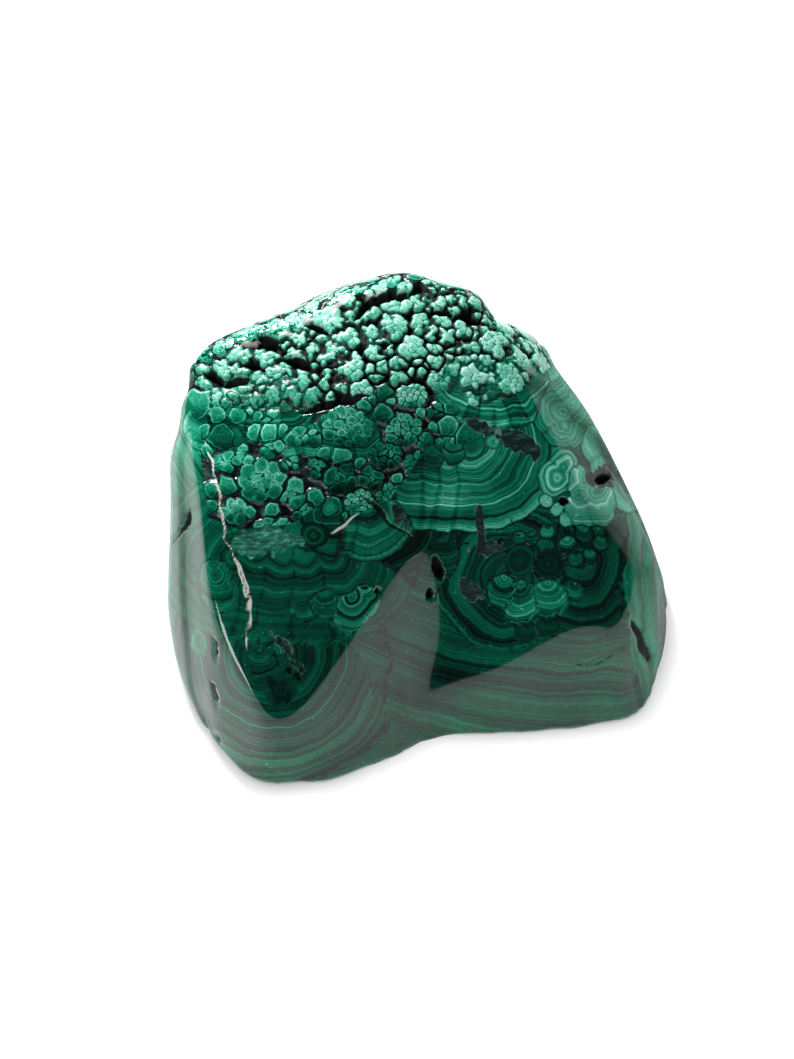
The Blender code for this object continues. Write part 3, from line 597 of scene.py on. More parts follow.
def pit_depth(sheet):
    """How deep the pits are at each place, mm."""
    deepest = np.zeros(len(sheet))
    for _, across, up, half_width, half_height, turn, depth in PITS:
        radius = turned_radius(sheet, across, up, half_width, half_height, turn)
        deepest = np.maximum(deepest, depth * (1.0 - smooth_step(0.45, 1.1, radius)))
    return deepest


# ---- the fine mesh ----

def sphere_mesh():
    """Unit directions and the triangles between them."""
    work = bmesh.new()
    bmesh.ops.create_icosphere(work, subdivisions=SPHERE_LEVELS, radius=1.0)
    mesh = bpy.data.meshes.new("sphere")
    work.to_mesh(mesh)
    work.free()
    ways = np.zeros(len(mesh.vertices) * 3)
    mesh.vertices.foreach_get("co", ways)
    triangles = np.zeros(len(mesh.polygons) * 3, dtype=np.int32)
    mesh.polygons.foreach_get("vertices", triangles)
    bpy.data.meshes.remove(mesh)
    ways = unit(ways.reshape(-1, 3)) - CROWDING * AHEAD
    return unit(ways), triangles.reshape(-1, 3)


def edge_keys(triangles, count):
    """One number for each triangle's three edges, the same from both sides."""
    ends = np.stack([triangles, np.roll(triangles, -1, axis=1)], axis=2)
    return ends.min(axis=2) * count + ends.max(axis=2)


def split_chosen(ways, triangles, chosen):
    """Splits the chosen triangles in four, and their neighbours to match."""
    count = len(ways)
    keys = edge_keys(triangles.astype(np.int64), count)
    while True:
        cut = np.isin(keys, np.unique(keys[chosen]))
        grown = cut.sum(axis=1) >= 2
        if (grown == chosen).all():
            break
        chosen = grown | chosen
    cut_keys = np.unique(keys[chosen])
    middles = unit(ways[cut_keys // count] + ways[cut_keys % count])
    middle_of = np.searchsorted(cut_keys, keys) + count
    a, b, c = triangles[chosen].T
    ab, bc, ca = middle_of[chosen].T
    four = [np.stack(t, axis=1) for t in ((a, ab, ca), (ab, b, bc), (ca, bc, c), (ab, bc, ca))]
    kept = triangles[cut.sum(axis=1) == 0]
    halves = []
    for side in range(3):
        rows = (cut.sum(axis=1) == 1) & cut[:, side] & ~chosen
        turned = np.roll(triangles[rows], -side, axis=1)
        middle = middle_of[rows, side]
        halves.append(np.stack([turned[:, 0], middle, turned[:, 2]], axis=1))
        halves.append(np.stack([middle, turned[:, 1], turned[:, 2]], axis=1))
    return np.concatenate([ways, middles]), np.concatenate([kept] + four + halves)


def fine_body():
    """The stone's body, with smaller triangles on the show side."""
    ways, triangles = sphere_mesh()
    points = body_points(ways)
    middles = points[triangles].mean(axis=1)
    seen = toward_eye(middles, unit(face_ways(points, triangles))) > 0.08
    height = np.where(seen, to_sheet(middles)[0][:, 1], -np.inf)
    chosen = height >= np.sort(height)[-FINE_TRIANGLES]
    ways, triangles = split_chosen(ways, triangles, chosen)
    return draw_to_silhouette(body_points(ways)), triangles


# ---- knobs of the crust ----

def tree_of(points):
    """A search tree over the points."""
    tree = KDTree(len(points))
    for index, point in enumerate(points):
        tree.insert(point, index)
    tree.balance()
    return tree


class Surface:
    """The body's points, with their place on the sheet and on the stone."""

    def __init__(self, points, triangles):
        self.points = points
        self.normals = outward(points, triangles)
        self.sheet, _ = to_sheet(points)
        self.shown = smooth_step(0.05, 0.22, toward_eye(points, self.normals))
        self.crust = cover(self, CRUST_EDGE)
        self.rough = rough_cover(self)
        self.skirt = skirt_cover(self)
        wandering = shifted_sheet(self.sheet, CUT_SWELLS)
        self.crevice = self.shown * crevice_depth(wandering)
        self.pit = self.shown * pit_depth(wandering)
        self.seen = np.flatnonzero(self.shown > 0.5)
        self.tree = tree_of(points)

    def at_sheet(self, across, up):
        """The index of the point nearest this place on the sheet."""
        gap = self.sheet[self.seen] - (across, up)
        return self.seen[np.argmin((gap ** 2).sum(axis=1))]

    def nearest(self, place):
        return self.tree.find(place)[1]

    def above(self, edge_line):
        """How far each point is above a line on the sheet."""
        across, up = np.array(edge_line).T
        return self.sheet[:, 1] - np.interp(self.sheet[:, 0], across, up)


def cover(surface, edge_line):
    """1 above a line on the sheet, and above a wandering height behind the crest."""
    in_front = smooth_step(-0.2 * CRUST_FADE, 0.3 * CRUST_FADE, surface.above(edge_line))
    back_edge = CRUST_BACK_HEIGHT + 3.0 * swell(surface.points, 22.0, 5)
    behind = smooth_step(-CRUST_FADE, CRUST_FADE, surface.points[:, 2] - back_edge)
    return surface.shown * in_front + (1.0 - surface.shown) * behind


def rough_cover(surface):
    """1 where the crust stands rough, 0 where it is ground flat."""
    kept = 1.0 - smooth_step(-0.8, 0.2, surface.above(CHAMFER_EDGE))
    return cover(surface, ROUGH_EDGE) * kept * surface.shown


def skirt_cover(surface):
    """1 inside the banded skirts that hang below the largest clusters."""
    skirt = np.zeros(len(surface.points))
    for _, _, kind, _, _, front, _, _, centres in FANS:
        if kind == "skirt":
            nearest, _ = fan_distances(surface.sheet, with_head_starts(centres))
            skirt = np.maximum(skirt, smooth_step(-0.3, 0.3, front - nearest))
    return skirt * surface.shown


def tangents(normal):
    """Two directions along the surface: level, and up its slope."""
    level = np.cross((0.0, 0.0, 1.0), normal)
    if np.linalg.norm(level) < 0.1:
        level = np.array([1.0, 0.0, 0.0])
    level /= np.linalg.norm(level)
    return level, np.cross(normal, level)


def knobs_in(half_width, half_height, sizes, chance):
    """Knobs packed in one cluster: rings of them, as (along, across, radius)."""
    if max(half_width, half_height) < LONE_KNOB:
        return [(0.0, 0.0, LONE_KNOB * math.sqrt(half_width * half_height))]
    radius = chance.uniform(*sizes)
    knobs = []
    ring = 1.0
    while True:
        a = half_width * ring - radius * KNOB_INSET
        b = half_height * ring - radius * KNOB_INSET
        if min(a, b) < 0.35 * radius:
            knobs.append((0.0, 0.0, radius))
            return knobs
        count = max(3, round(math.pi * (a + b) / (KNOB_APART * radius)))
        start = chance.uniform(0, 2 * math.pi)
        for k in range(count):
            angle = start + (k + chance.uniform(-0.16, 0.16)) / count * 2.0 * math.pi
            size = radius * chance.uniform(*KNOB_SIZES)
            knobs.append((a * math.cos(angle), b * math.sin(angle), size))
        ring -= KNOB_APART * radius / max(half_width, half_height)


class Knobs:
    """Round knobs in clusters: place, radius, tone, cluster, its height and half height."""

    def __init__(self, surface):
        self.surface = surface
        self.rows = []
        self.clusters = 0

    def add(self, place, radius, tone, up, half_height):
        self.rows.append((*place, radius, tone, self.clusters, up, half_height))

    def add_cluster(self, index, half_width, half_height, tone, chance, sizes=KNOB_SIZES):
        """Lays one cluster's knobs on the surface around the point at index."""
        surface = self.surface
        middle = surface.points[index]
        level, slope = tangents(surface.normals[index])
        across, up = surface.sheet[index]
        cluster_tone = tone + PALER_RIGHTWARD * across + chance.uniform(*CLUSTER_TONES)
        for along, across, radius in knobs_in(half_width, half_height, sizes, chance):
            place = surface.points[surface.nearest(middle + level * along + slope * across)]
            knob_tone = cluster_tone + chance.uniform(*KNOB_TONES)
            self.add(place, radius, knob_tone, up, half_height)
        self.clusters += 1

    def add_single(self, index, radius, tone):
        self.add(self.surface.points[index], radius, tone, self.surface.sheet[index, 1], radius)
        self.clusters += 1


def laid_height(surface, index, seen_height, highest):
    """A cluster's half height along the surface, from the one seen on the sheet."""
    _, slope = tangents(surface.normals[index])
    return min(seen_height / max(0.45, abs(slope @ UP)), highest)


def placed_knobs(knobs, chance):
    """Adds the listed clusters and pebbles; gives each one's middle and radius."""
    surface = knobs.surface
    taken = []
    for across, up, half_width, half_height in CLUSTERS:
        index = surface.at_sheet(across, up)
        height = laid_height(surface, index, half_height, 1.3 * half_width)
        tone = ROUGH_TONE if up > FLAT_BELOW else FLAT_TONE + 0.06
        knobs.add_cluster(index, PLACED_SPREAD * half_width, PLACED_SPREAD * height, tone, chance)
        taken.append((*surface.points[index], max(half_width, height)))
    for across, up, half_width, half_height, tone, size in FLORETS:
        index = surface.at_sheet(across, up)
        height = laid_height(surface, index, half_height, 1.4 * half_width)
        sizes = (KNOB_SIZES[0] * size, KNOB_SIZES[1] * size)
        knobs.add_cluster(index, half_width, height, tone, chance, sizes)
        taken.append((*surface.points[index], 1.1 * max(half_width, height)))
    for across, up, radius, tone in PEBBLES:
        index = surface.at_sheet(across, up)
        knobs.add_single(index, 1.35 * radius, tone)
        taken.append((*surface.points[index], radius))
    return taken


def seed_cluster(knobs, index, radius, chance):
    """Adds a seeded cluster: round where the crust is rough, flatter where it is ground."""
    if knobs.surface.rough[index] > 0.5:
        size = SEEDED_SPREAD * radius
        knobs.add_cluster(index, size, size, ROUGH_TONE, chance)
        return
    width = 1.2 * min(radius, 2.4)
    tone = FLAT_TONE + chance.uniform(-0.12, 0.12)
    sizes = (0.7, 1.0) if chance.random() < 0.5 else (1.1, 1.6)
    knobs.add_cluster(index, width, width * chance.uniform(0.7, 1.0), tone, chance, sizes)


def all_knobs(surface):
    """Every knob of the crust, placed and seeded."""
    chance = np.random.default_rng(CRUST_SEED)
    knobs = Knobs(surface)
    taken = np.array(placed_knobs(knobs, chance))
    ground = np.flatnonzero((surface.crust > 0.5) & (surface.skirt < 0.3))
    for low, high, tries in SEEDED:
        for index in chance.choice(ground, tries, replace=False):
            radius = chance.uniform(low, high)
            gap = np.linalg.norm(taken[:, :3] - surface.points[index], axis=1)
            if (gap - taken[:, 3]).min() >= radius * SEEDED_ROOM:
                taken = np.vstack([taken, (*surface.points[index], radius)])
                seed_cluster(knobs, index, radius, chance)
    return np.array(knobs.rows)


def knob_fields(surface, knobs):
    """What each point needs to know of its knob, as a dictionary of values in mm."""
    count = len(surface.points)
    fields = {"inside": np.full(count, -3.0), "within": np.full(count, -3.0),
              "radius": np.ones(count), "knob_tone": np.full(count, 0.5), "drop": np.zeros(count)}
    tree = tree_of(knobs[:, :3])
    gap_width = GAP_WIDTH + 0.12 * surface.rough + 0.14 * swell(surface.points, 5.0, 81)
    places = shifted(surface.points, surface.points, KNOB_SWELLS)
    for index in np.flatnonzero(surface.crust > 0.01):
        found = tree.find_n(places[index], NEAREST_KNOBS)
        ranked = sorted((gap - knobs[k, 3], k) for _, k, gap in found)
        first, knob = ranked[0]
        cluster = knobs[knob, 5]
        others = [value for value, k in ranked[1:] if knobs[k, 5] != cluster]
        to_next_cluster = (others[0] - first) / 2.0 - gap_width[index] if others else 3.0
        within = min(-first, to_next_cluster)
        fields["within"][index] = within
        fields["inside"][index] = min(within, (ranked[1][0] - first) / 2.0)
        fields["radius"][index] = knobs[knob, 3]
        fields["knob_tone"][index] = knobs[knob, 4]
        # how far below its cluster's middle the point lies, in half heights, for the painted shade on
        # the cluster's lower side
        fields["drop"][index] = (knobs[knob, 6] - surface.sheet[index, 1]) / knobs[knob, 7]
    return fields


# ---- bands of the stone ----

def column_tone(places, centres):
    """A step in tone that differs from one growth centre to the next."""
    gaps = [np.linalg.norm(places - np.array(centre[:-1]), axis=1) - centre[-1] for centre in centres]
    return 0.10 * np.sin(4.1 * np.argmin(gaps, axis=0) + 1.0)


def with_head_starts(centres):
    """Growth centres as (across, up, head start), with 0 where no head start is given."""
    return [(*centre, 0.0)[:3] for centre in centres]


def fan_distances(places, centres):
    """Distances to a fan's nearest and second nearest growth centres."""
    nearest = np.full(len(places), 1e6)
    second = np.full(len(places), 1e6)
    for centre in centres:
        middle = np.array(centre[:-1])
        distance = np.linalg.norm(places - middle, axis=1) - centre[-1]
        second = np.minimum(second, np.maximum(nearest, distance))
        nearest = np.minimum(nearest, distance)
    return nearest, second


def teeth(places, centre):
    """An uneven comb around a growth centre, 0 to 1, with teeth about 0.6 mm apart."""
    offset = places[:, :2] - np.array(centre[:2])
    around = np.arctan2(offset[:, 1], offset[:, 0]) * np.linalg.norm(offset, axis=1).mean()
    return 0.5 + 0.25 * np.sin(around * 10.0) + 0.25 * np.sin(around * 23.0 + 1.3)


def rank_fans(places, fans):
    """At each place the winning fan and its margin, the runner-up's, and all fans' distances."""
    best = np.full(len(places), 1e6)
    second = best.copy()
    winner = np.zeros(len(places), int)
    distances = []
    for number, (_, _, _, front, _, _, centres, _) in enumerate(fans):
        nearest, next_one = fan_distances(places, centres)
        distances.append((nearest, (next_one - nearest) / 2.0))
        own = nearest - front
        second = np.minimum(second, np.maximum(best, own))
        winner = np.where(own < best, number, winner)
        best = np.minimum(best, own)
    return winner, best, second, distances


class Patchwork:
    """The fans laid over one another, and what each point needs to know of them."""

    def __init__(self, places):
        count = len(places)
        self.places = places
        self.free = np.ones(count, bool)
        self.fields = {"growth": np.zeros(count), "tone": np.full(count, 0.35),
                       "edge": np.full(count, FAR), "crease": np.full(count, FAR),
                       "fringe": np.zeros(count), "outline": np.zeros(count),
                       "contrast": np.full(count, 0.5)}

    def lay(self, fans):
        """Lays one layer: (kind, tone, contrast, front, fringe, outline, centres, phase)."""
        winner, best, second, distances = rank_fans(self.places, fans)
        won = self.free & (best < 0.0)
        outlines = np.array([fan[5] for fan in fans])
        to_edge = np.where(won, np.minimum(-best, (second - best) / 2.0), best)
        nearer = self.free & (to_edge < self.fields["edge"])
        self.fields["outline"] = np.where(nearer, outlines[winner], self.fields["outline"])
        self.fields["edge"] = np.where(nearer, to_edge, self.fields["edge"])
        for number, fan in enumerate(fans):
            here = won & (winner == number)
            if here.any():
                self.fill(here, fan, *distances[number])
        self.free &= ~won

    def fill(self, here, fan, nearest, crease):
        """Gives the points won by a fan its bands, tone and fringe."""
        kind, tone, contrast, front, fringe, _, centres, phase = fan
        fields = self.fields
        rings = nearest
        if kind != "ring":
            lifted = [(c[0], c[1] + SCALE_LIFT * front, *c[2:]) for c in centres]
            rings, _ = fan_distances(self.places, lifted)
        fields["growth"][here] = rings[here] + phase
        fields["crease"][here] = crease[here]
        fields["contrast"][here] = contrast
        fields["tone"][here] = tone
        if kind == "skirt":
            fields["tone"][here] += column_tone(self.places[here], centres)
        if fringe:
            comb = teeth(self.places[here], centres[0])
            reach = front - nearest[here]
            bare = smooth_step(0.25 + 0.9 * comb, 0.4 + 1.1 * comb, reach)
            fields["fringe"][here] = fringe * (1.0 - bare)


def band_places(surface, places, fine):
    """The places, shifted so that bands and fronts wander; fine scales the smaller swells."""
    broad, *smaller = BAND_SWELLS
    swells = [broad] + [(shift * fine, size, seed) for shift, size, seed in smaller]
    return shifted(places, surface.points, swells)


def shown_fans(surface):
    """The patchwork on the side that faces the sheet's eye."""
    work = Patchwork(band_places(surface, surface.sheet, 0.8))
    for layer in range(LAYERS):
        if layer == LAYERS - 1:
            work.places = band_places(surface, surface.sheet, 0.5)
        fans = []
        for number, fan in enumerate(FANS):
            if fan[1] == layer:
                fans.append((*fan[2:-1], with_head_starts(fan[-1]), PHASE_STEP * number))
        work.lay(fans)
    return work.fields


def back_fans(surface):
    """The patchwork on the sides and back: seeded fans over level layers."""
    chance = np.random.default_rng(BACK_SEED)
    work = Patchwork(band_places(surface, surface.points, 0.8))
    hidden = np.flatnonzero(surface.shown < 0.5)
    for fronts in BACK_FRONTS:
        fans = []
        for number, index in enumerate(chance.choice(hidden, BACK_FANS, replace=False)):
            front = chance.uniform(*fronts)
            middle = surface.points[index] - surface.normals[index] * chance.uniform(0.2, 0.6) * front
            centres = [(*(middle + chance.normal(size=3) * front * 0.3), 0.0) for _ in range(3)]
            tone = chance.uniform(0.2, 0.55)
            fringe = chance.uniform(0.0, 0.5)
            fans.append(("ring", tone, 0.7, front, fringe, 0.1, centres, BACK_PHASE_STEP * number))
        work.lay(fans)
    fields = work.fields
    fields["growth"] = np.where(work.free, work.places[:, 2] * 0.8, fields["growth"])
    fields["tone"] = np.where(work.free, 0.42, fields["tone"])
    return fields


def fan_fields(surface):
    """Both patchworks, joined along a wandering line just round the side."""
    shown = shown_fans(surface)
    back = back_fans(surface)
    in_view = surface.shown + 0.2 * swell(surface.points, 8.0, 45) > 0.35
    return {name: np.where(in_view, shown[name], back[name]) for name in shown}


def tone_steps(surface):
    """Lighter and darker stretches, added to the fans' own tones."""
    tone = 0.06 * swell(surface.points, 14.0, 41)
    for _, across, up, half_width, half_height, step in TONES:
        radius = turned_radius(surface.sheet, across, up, half_width, half_height, 0)
        tone += surface.shown * step * np.exp(-radius ** 2)
    return tone


def patch_field(surface, patches):
    """Above 0 inside the patches, in millimetres or so."""
    field = np.full(len(surface.points), -FAR)
    wander = 0.6 * swell(surface.points, 4.5, 51) + 0.5 * swell(surface.points, 1.7, 52)
    for _, across, up, half_width, half_height, turn in patches:
        radius = turned_radius(surface.sheet, across, up, half_width, half_height, turn)
        inside = (1.0 - radius) * min(half_width, half_height) + wander
        field = np.maximum(field, np.where(surface.shown > 0.5, inside, -FAR))
    return field


def line_field(surface, lines):
    """Above 0 inside lines of a given half width on the shown side, mm."""
    field = np.full(len(surface.points), -FAR)
    places = shifted_sheet(surface.sheet, LINE_SWELLS)
    for _, half_width, line in lines:
        distance, place = line_distance(places, line)
        field = np.maximum(field, half_width * np.sin(math.pi * place) ** 0.5 - distance)
    return np.where(surface.shown > 0.5, field, -FAR)


def satin_field(surface):
    """How dull the polish is: 0 where it is bright, 1 at its dullest."""
    rightward = surface.normals[:, 0]
    return np.maximum(smooth_step(*SATIN_RIGHT, rightward), 0.6 * smooth_step(*SATIN_LEFT, -rightward))


# ---- the stone ----

def stone_relief(surface, knobs):
    """How far each point moves outward, mm."""
    fullness = np.clip(knobs["within"] / (0.8 * knobs["radius"]), 0.0, 1.0)
    dome = DOME * np.sqrt(np.clip(1.0 - (1.0 - fullness) ** 2, 0.0, 1.0)) - DOME
    seam = 1.0 - smooth_step(0.0, 0.2, knobs["inside"])
    gap = smooth_step(0.0, 0.5, -knobs["within"]) * (1.0 - 0.8 * surface.skirt)
    rough = np.minimum(surface.rough, surface.crust)
    relief = rough * (dome - ROUGH_SEAM * seam - ROUGH_GAP * gap)
    flat = surface.crust * (1.0 - surface.rough)
    relief -= flat * (FLAT_GAP * gap + FLAT_SEAM * seam)
    relief -= surface.crevice
    relief -= surface.pit
    return relief * smooth_step(0.0, FOOT_HEIGHT, surface.points[:, 2])


def cad_shift(points):
    """The move that stands the stone's box where the CAD stone's box does."""
    low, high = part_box(NODE)
    middle = (points.min(axis=0) + points.max(axis=0)) / 2.0 * MM
    return np.array([(low[0] + high[0]) / 2.0 - middle[0], (low[1] + high[1]) / 2.0 - middle[1],
                     low[2] - points[:, 2].min() * MM])


def add_object(name, data):
    """A new object in the scene."""
    holder = bpy.data.objects.new(name, data)
    bpy.context.scene.collection.objects.link(holder)
    return holder


def look_fields(surface, knobs):
    """Every value that the material reads from the mesh, by name."""
    fields = {**knobs, **fan_fields(surface)}
    fields["tone"] = fields["tone"] + tone_steps(surface)
    fields["slate"] = patch_field(surface, SLATE)
    fields["scratched"] = patch_field(surface, SCRATCHED)
    fields["crust"] = surface.crust
    fields["rough"] = surface.rough
    fields["skirt"] = surface.skirt
    fields["hole"] = np.maximum(surface.crevice, surface.pit)
    fields["glint"] = line_field(surface, GLINTS_AND_BRUISES)
    fields["crack"] = line_field(surface, CRACKS)
    fields["satin"] = satin_field(surface)
    return fields


def build_stone():
    """The stone's mesh object, and how far the modelling frame was moved."""
    points, triangles = fine_body()
    surface = Surface(points, triangles)
    knobs = knob_fields(surface, all_knobs(surface))
    shaped = points + surface.normals * stone_relief(surface, knobs)[:, None]
    shaped[:, 2] = np.maximum(shaped[:, 2], 0.0)
    shift = cad_shift(shaped)
    mesh = bpy.data.meshes.new("stone")
    mesh.from_pydata((shaped * MM + shift).tolist(), [], triangles.tolist())
    mesh.shade_smooth()
    for name, values in look_fields(surface, knobs).items():
        attribute = mesh.attributes.new(name, "FLOAT", "POINT")
        attribute.data.foreach_set("value", values.astype(np.float32))
    return add_object("stone", mesh), shift


# ---- materials ----

class Nodes:
    """Short calls for building a node tree."""

    def __init__(self, tree):
        self.tree = tree

    def new(self, kind, **settings):
        node = self.tree.nodes.new(kind)
        for name, value in settings.items():
            setattr(node, name, value)
        return node

    def link(self, value, socket):
        if isinstance(value, (int, float, tuple)):
            socket.default_value = value
        else:
            self.tree.links.new(value, socket)

    def field(self, name):
        return self.new("ShaderNodeAttribute", attribute_name=name).outputs["Fac"]

    def math(self, operation, *values):
        node = self.new("ShaderNodeMath", operation=operation)
        for value, socket in zip(values, node.inputs):
            self.link(value, socket)
        return node.outputs[0]

    def times(self, a, b):
        return self.math("MULTIPLY", a, b)

    def plus(self, base, value, amount):
        """The base, and this amount of the value over it."""
        return self.math("MULTIPLY_ADD", value, amount, base)

    def centred(self, noise):
        """Noise that runs about 0 instead of about a half."""
        return self.math("SUBTRACT", noise, 0.5)

    def inverse(self, value):
        return self.math("SUBTRACT", 1.0, value)

    def step(self, low, high, value):
        """0 at low, 1 at high, and a smooth rise between them."""
        node = self.new("ShaderNodeMapRange", interpolation_type="SMOOTHSTEP")
        self.link(value, node.inputs["Value"])
        self.link(low, node.inputs["From Min"])
        self.link(high, node.inputs["From Max"])
        return node.outputs[0]

    def fade(self, low, high, value):
        """1 at low, 0 at high, and a smooth fall between them."""
        return self.inverse(self.step(low, high, value))

    def mix(self, factor, a, b):
        node = self.new("ShaderNodeMix", data_type="FLOAT")
        for value, socket in zip((factor, a, b), (node.inputs[0], *node.inputs[2:4])):
            self.link(value, socket)
        return node.outputs[0]

    def mix_colour(self, factor, a, b):
        node = self.new("ShaderNodeMix", data_type="RGBA")
        for value, socket in zip((factor, a, b), (node.inputs[0], *node.inputs[6:8])):
            self.link(value, socket)
        return node.outputs[2]

    def scaled(self, vector, factors):
        """The vector, multiplied along each axis."""
        node = self.new("ShaderNodeVectorMath", operation="MULTIPLY")
        self.link(vector, node.inputs[0])
        node.inputs[1].default_value = factors
        return node.outputs[0]

    def noise(self, place, scale, detail, roughness, dimensions="3D"):
        """Smooth noise at the place, about 0.5: a vector, or one number when 1D."""
        node = self.new("ShaderNodeTexNoise", noise_dimensions=dimensions)
        self.link(place, node.inputs["W" if dimensions == "1D" else "Vector"])
        self.link(scale, node.inputs["Scale"])
        self.link(detail, node.inputs["Detail"])
        self.link(roughness, node.inputs["Roughness"])
        return node.outputs["Fac"]

    def ramp(self, value, stops):
        node = self.new("ShaderNodeValToRGB")
        elements = node.color_ramp.elements
        while len(elements) < len(stops):
            elements.new(0.5)
        for element, (position, colour) in zip(elements, stops):
            element.position = position
            element.color = (*colour, 1.0)
        self.link(value, node.inputs[0])
        return node.outputs[0]


GREENS = [                  # from the darkest stone to the palest
    (0.00, (0.0002, 0.009, 0.006)),
    (0.18, (0.0004, 0.036, 0.022)),
    (0.36, (0.0008, 0.115, 0.064)),
    (0.54, (0.0060, 0.260, 0.146)),
    (0.72, (0.0600, 0.460, 0.300)),
    (0.88, (0.2000, 0.700, 0.520)),
    (1.00, (0.4400, 0.900, 0.740)),
]
# Black of the cracks and gaps, also painted as shade deep in gaps, pits and crevices.
CREVICE_BLACK_AND_SHADE = (0.0012, 0.0040, 0.0034, 1.0)
SLATE_GREY = (0.006, 0.020, 0.019, 1.0)
SLATE_PALE = (0.045, 0.120, 0.100, 1.0)
# The glints' pale is a painted highlight; the brown is a bruised edge's fibres.
GLINT_PALE = (0.82, 0.84, 0.76, 1.0)
BRUISE_BROWN = (0.24, 0.24, 0.19, 1.0)
RIM_PALE = (0.16, 0.24, 0.19, 1.0)


BAND_NOISES = [             # (offset, scale, detail, roughness, strength) along the growth
    (0.0, 0.45, 2.0, 0.5, 1.2),
    (31.0, 1.6, 2.0, 0.6, 0.8),
    (77.0, 4.2, 1.0, 0.6, 0.6),
]
STREAKS = (0.45, 0.6, 1.9)  # how the noise of slate and scratches is squeezed along each axis
FIBRES = (2.4, 2.4, 0.35)   # the same for the bruised edges
STONE_IOR = 1.52
POLISHED, SATIN, GROUND_CRUST, BROKEN = 0.05, 0.60, 0.34, 0.85      # roughness


class StoneNodes(Nodes):
    """The node tree of the stone, with the noises and covers that its layers share."""

    def __init__(self, tree):
        super().__init__(tree)
        self.place = self.new("ShaderNodeTexCoord").outputs["Object"]
        self.grain = self.noise(self.place, 900.0, 3.0, 0.6)
        self.streaks = self.scaled(self.place, STREAKS)
        self.rough = self.field("rough")
        self.edge = self.field("edge")
        crust = self.step(0.35, 0.65, self.field("crust"))
        on_cluster = self.step(-0.10, 0.0, self.field("within"))
        self.in_knob = self.times(crust, on_cluster)
        off_skirt = self.fade(0.2, 0.8, self.field("skirt"))
        self.in_gap = self.times(self.times(crust, self.inverse(on_cluster)), off_skirt)
        self.slate = self.step(-0.06, 0.10, self.field("slate"))
        self.scratched = self.step(-0.3, 0.3, self.field("scratched"))
        self.hole = self.step(0.35, 0.8, self.field("hole"))


def band_value(n):
    """How pale the banded stone is: rings of noise along the growth, with dark seams."""
    growth = n.field("growth")
    rings = 0.0
    for offset, scale, detail, roughness, strength in BAND_NOISES:
        noise = n.noise(n.math("ADD", growth, offset), scale, detail, roughness, "1D")
        rings = n.plus(rings, n.centred(noise), strength)
    speckle = n.step(0.70, 0.76, n.noise(n.place, 1400.0, 1.0, 0.5))
    value = n.plus(n.field("tone"), rings, n.field("contrast"))
    value = n.plus(value, n.centred(n.grain), 0.15)
    value = n.plus(value, n.field("fringe"), 0.38)
    value = n.plus(value, speckle, 0.22)
    value = n.plus(value, n.fade(0.05, 0.30, n.edge), -0.26)
    return n.plus(value, n.fade(0.02, 0.14, n.field("crease")), -0.14)


def knob_value(n):
    """How pale a knob is: dark outlined where rough, pale rimmed where ground flat, and darker toward
    its cluster's lower side as painted shade.
    """
    inside = n.field("inside")
    mottle = n.noise(n.place, 2600.0, 2.0, 0.6)
    rim = n.times(n.step(0.04, 0.14, inside), n.fade(0.16, 0.60, inside))
    rim = n.times(rim, n.step(0.25, 0.6, n.noise(n.place, 420.0, 2.0, 0.5)))
    # painted shade: each cluster darker toward its lower side
    painted_lower_shade = n.step(-0.2, 1.0, n.field("drop"))
    value = n.plus(n.field("knob_tone"), rim, n.mix(n.rough, 0.30, 0.14))
    value = n.plus(value, n.centred(mottle), 0.55)
    value = n.plus(value, n.centred(n.grain), 0.30)
    value = n.plus(value, n.fade(0.02, 0.12, inside), -0.36)
    return n.plus(value, painted_lower_shade, n.mix(n.rough, -0.32, -0.16))


def slate_colour(n):
    noise = n.noise(n.streaks, 700.0, 4.0, 0.65)
    return n.mix_colour(n.step(0.44, 0.74, noise), SLATE_GREY, SLATE_PALE)


def gap_colour(n, slate):
    """Black between the rough knobs, partly the stone's dark filling and partly painted shade deep in
    the gaps, with patches of slate between the flat ones.
    """
    patches = n.step(0.42, 0.56, n.noise(n.place, 260.0, 2.0, 0.5))
    black = n.math("MAXIMUM", n.step(0.3, 0.7, n.rough), patches)
    return n.mix_colour(black, slate, CREVICE_BLACK_AND_SHADE)


def vein_cover(n):
    """Where a pale broken outline follows the edge of a fan."""
    vein = n.times(n.fade(0.05, 0.16, n.edge), n.field("outline"))
    vein = n.times(vein, n.step(0.40, 0.62, n.grain))
    return n.times(vein, n.inverse(n.in_knob))


def slate_rim_cover(n):
    """Where a pale broken rim runs round the slate."""
    rim = n.times(n.step(-0.22, -0.12, n.field("slate")), n.step(0.40, 0.60, n.grain))
    return n.times(rim, 0.7)


def scratched_colour(n):
    scratches = n.math("MULTIPLY_ADD", n.noise(n.streaks, 1500.0, 3.0, 0.7), 2.2, -0.60)
    return n.mix_colour(0.35, n.ramp(scratches, GREENS), SLATE_PALE)


def crack_cover(n):
    breaks = n.math("SUBTRACT", n.noise(n.place, 500.0, 3.0, 0.6), 0.55)
    return n.step(-0.10, 0.10, n.plus(n.field("crack"), breaks, 2.2))


def glint_colour(n):
    """The pale lines: a painted highlight, with the brown fibres of a bruised edge in their middle."""
    fibrous = n.noise(n.scaled(n.place, FIBRES), 900.0, 3.0, 0.7)
    inner = n.times(n.step(0.14, 0.30, n.field("glint")), n.step(0.85, 0.30, fibrous))
    return n.mix_colour(inner, GLINT_PALE, BRUISE_BROWN)


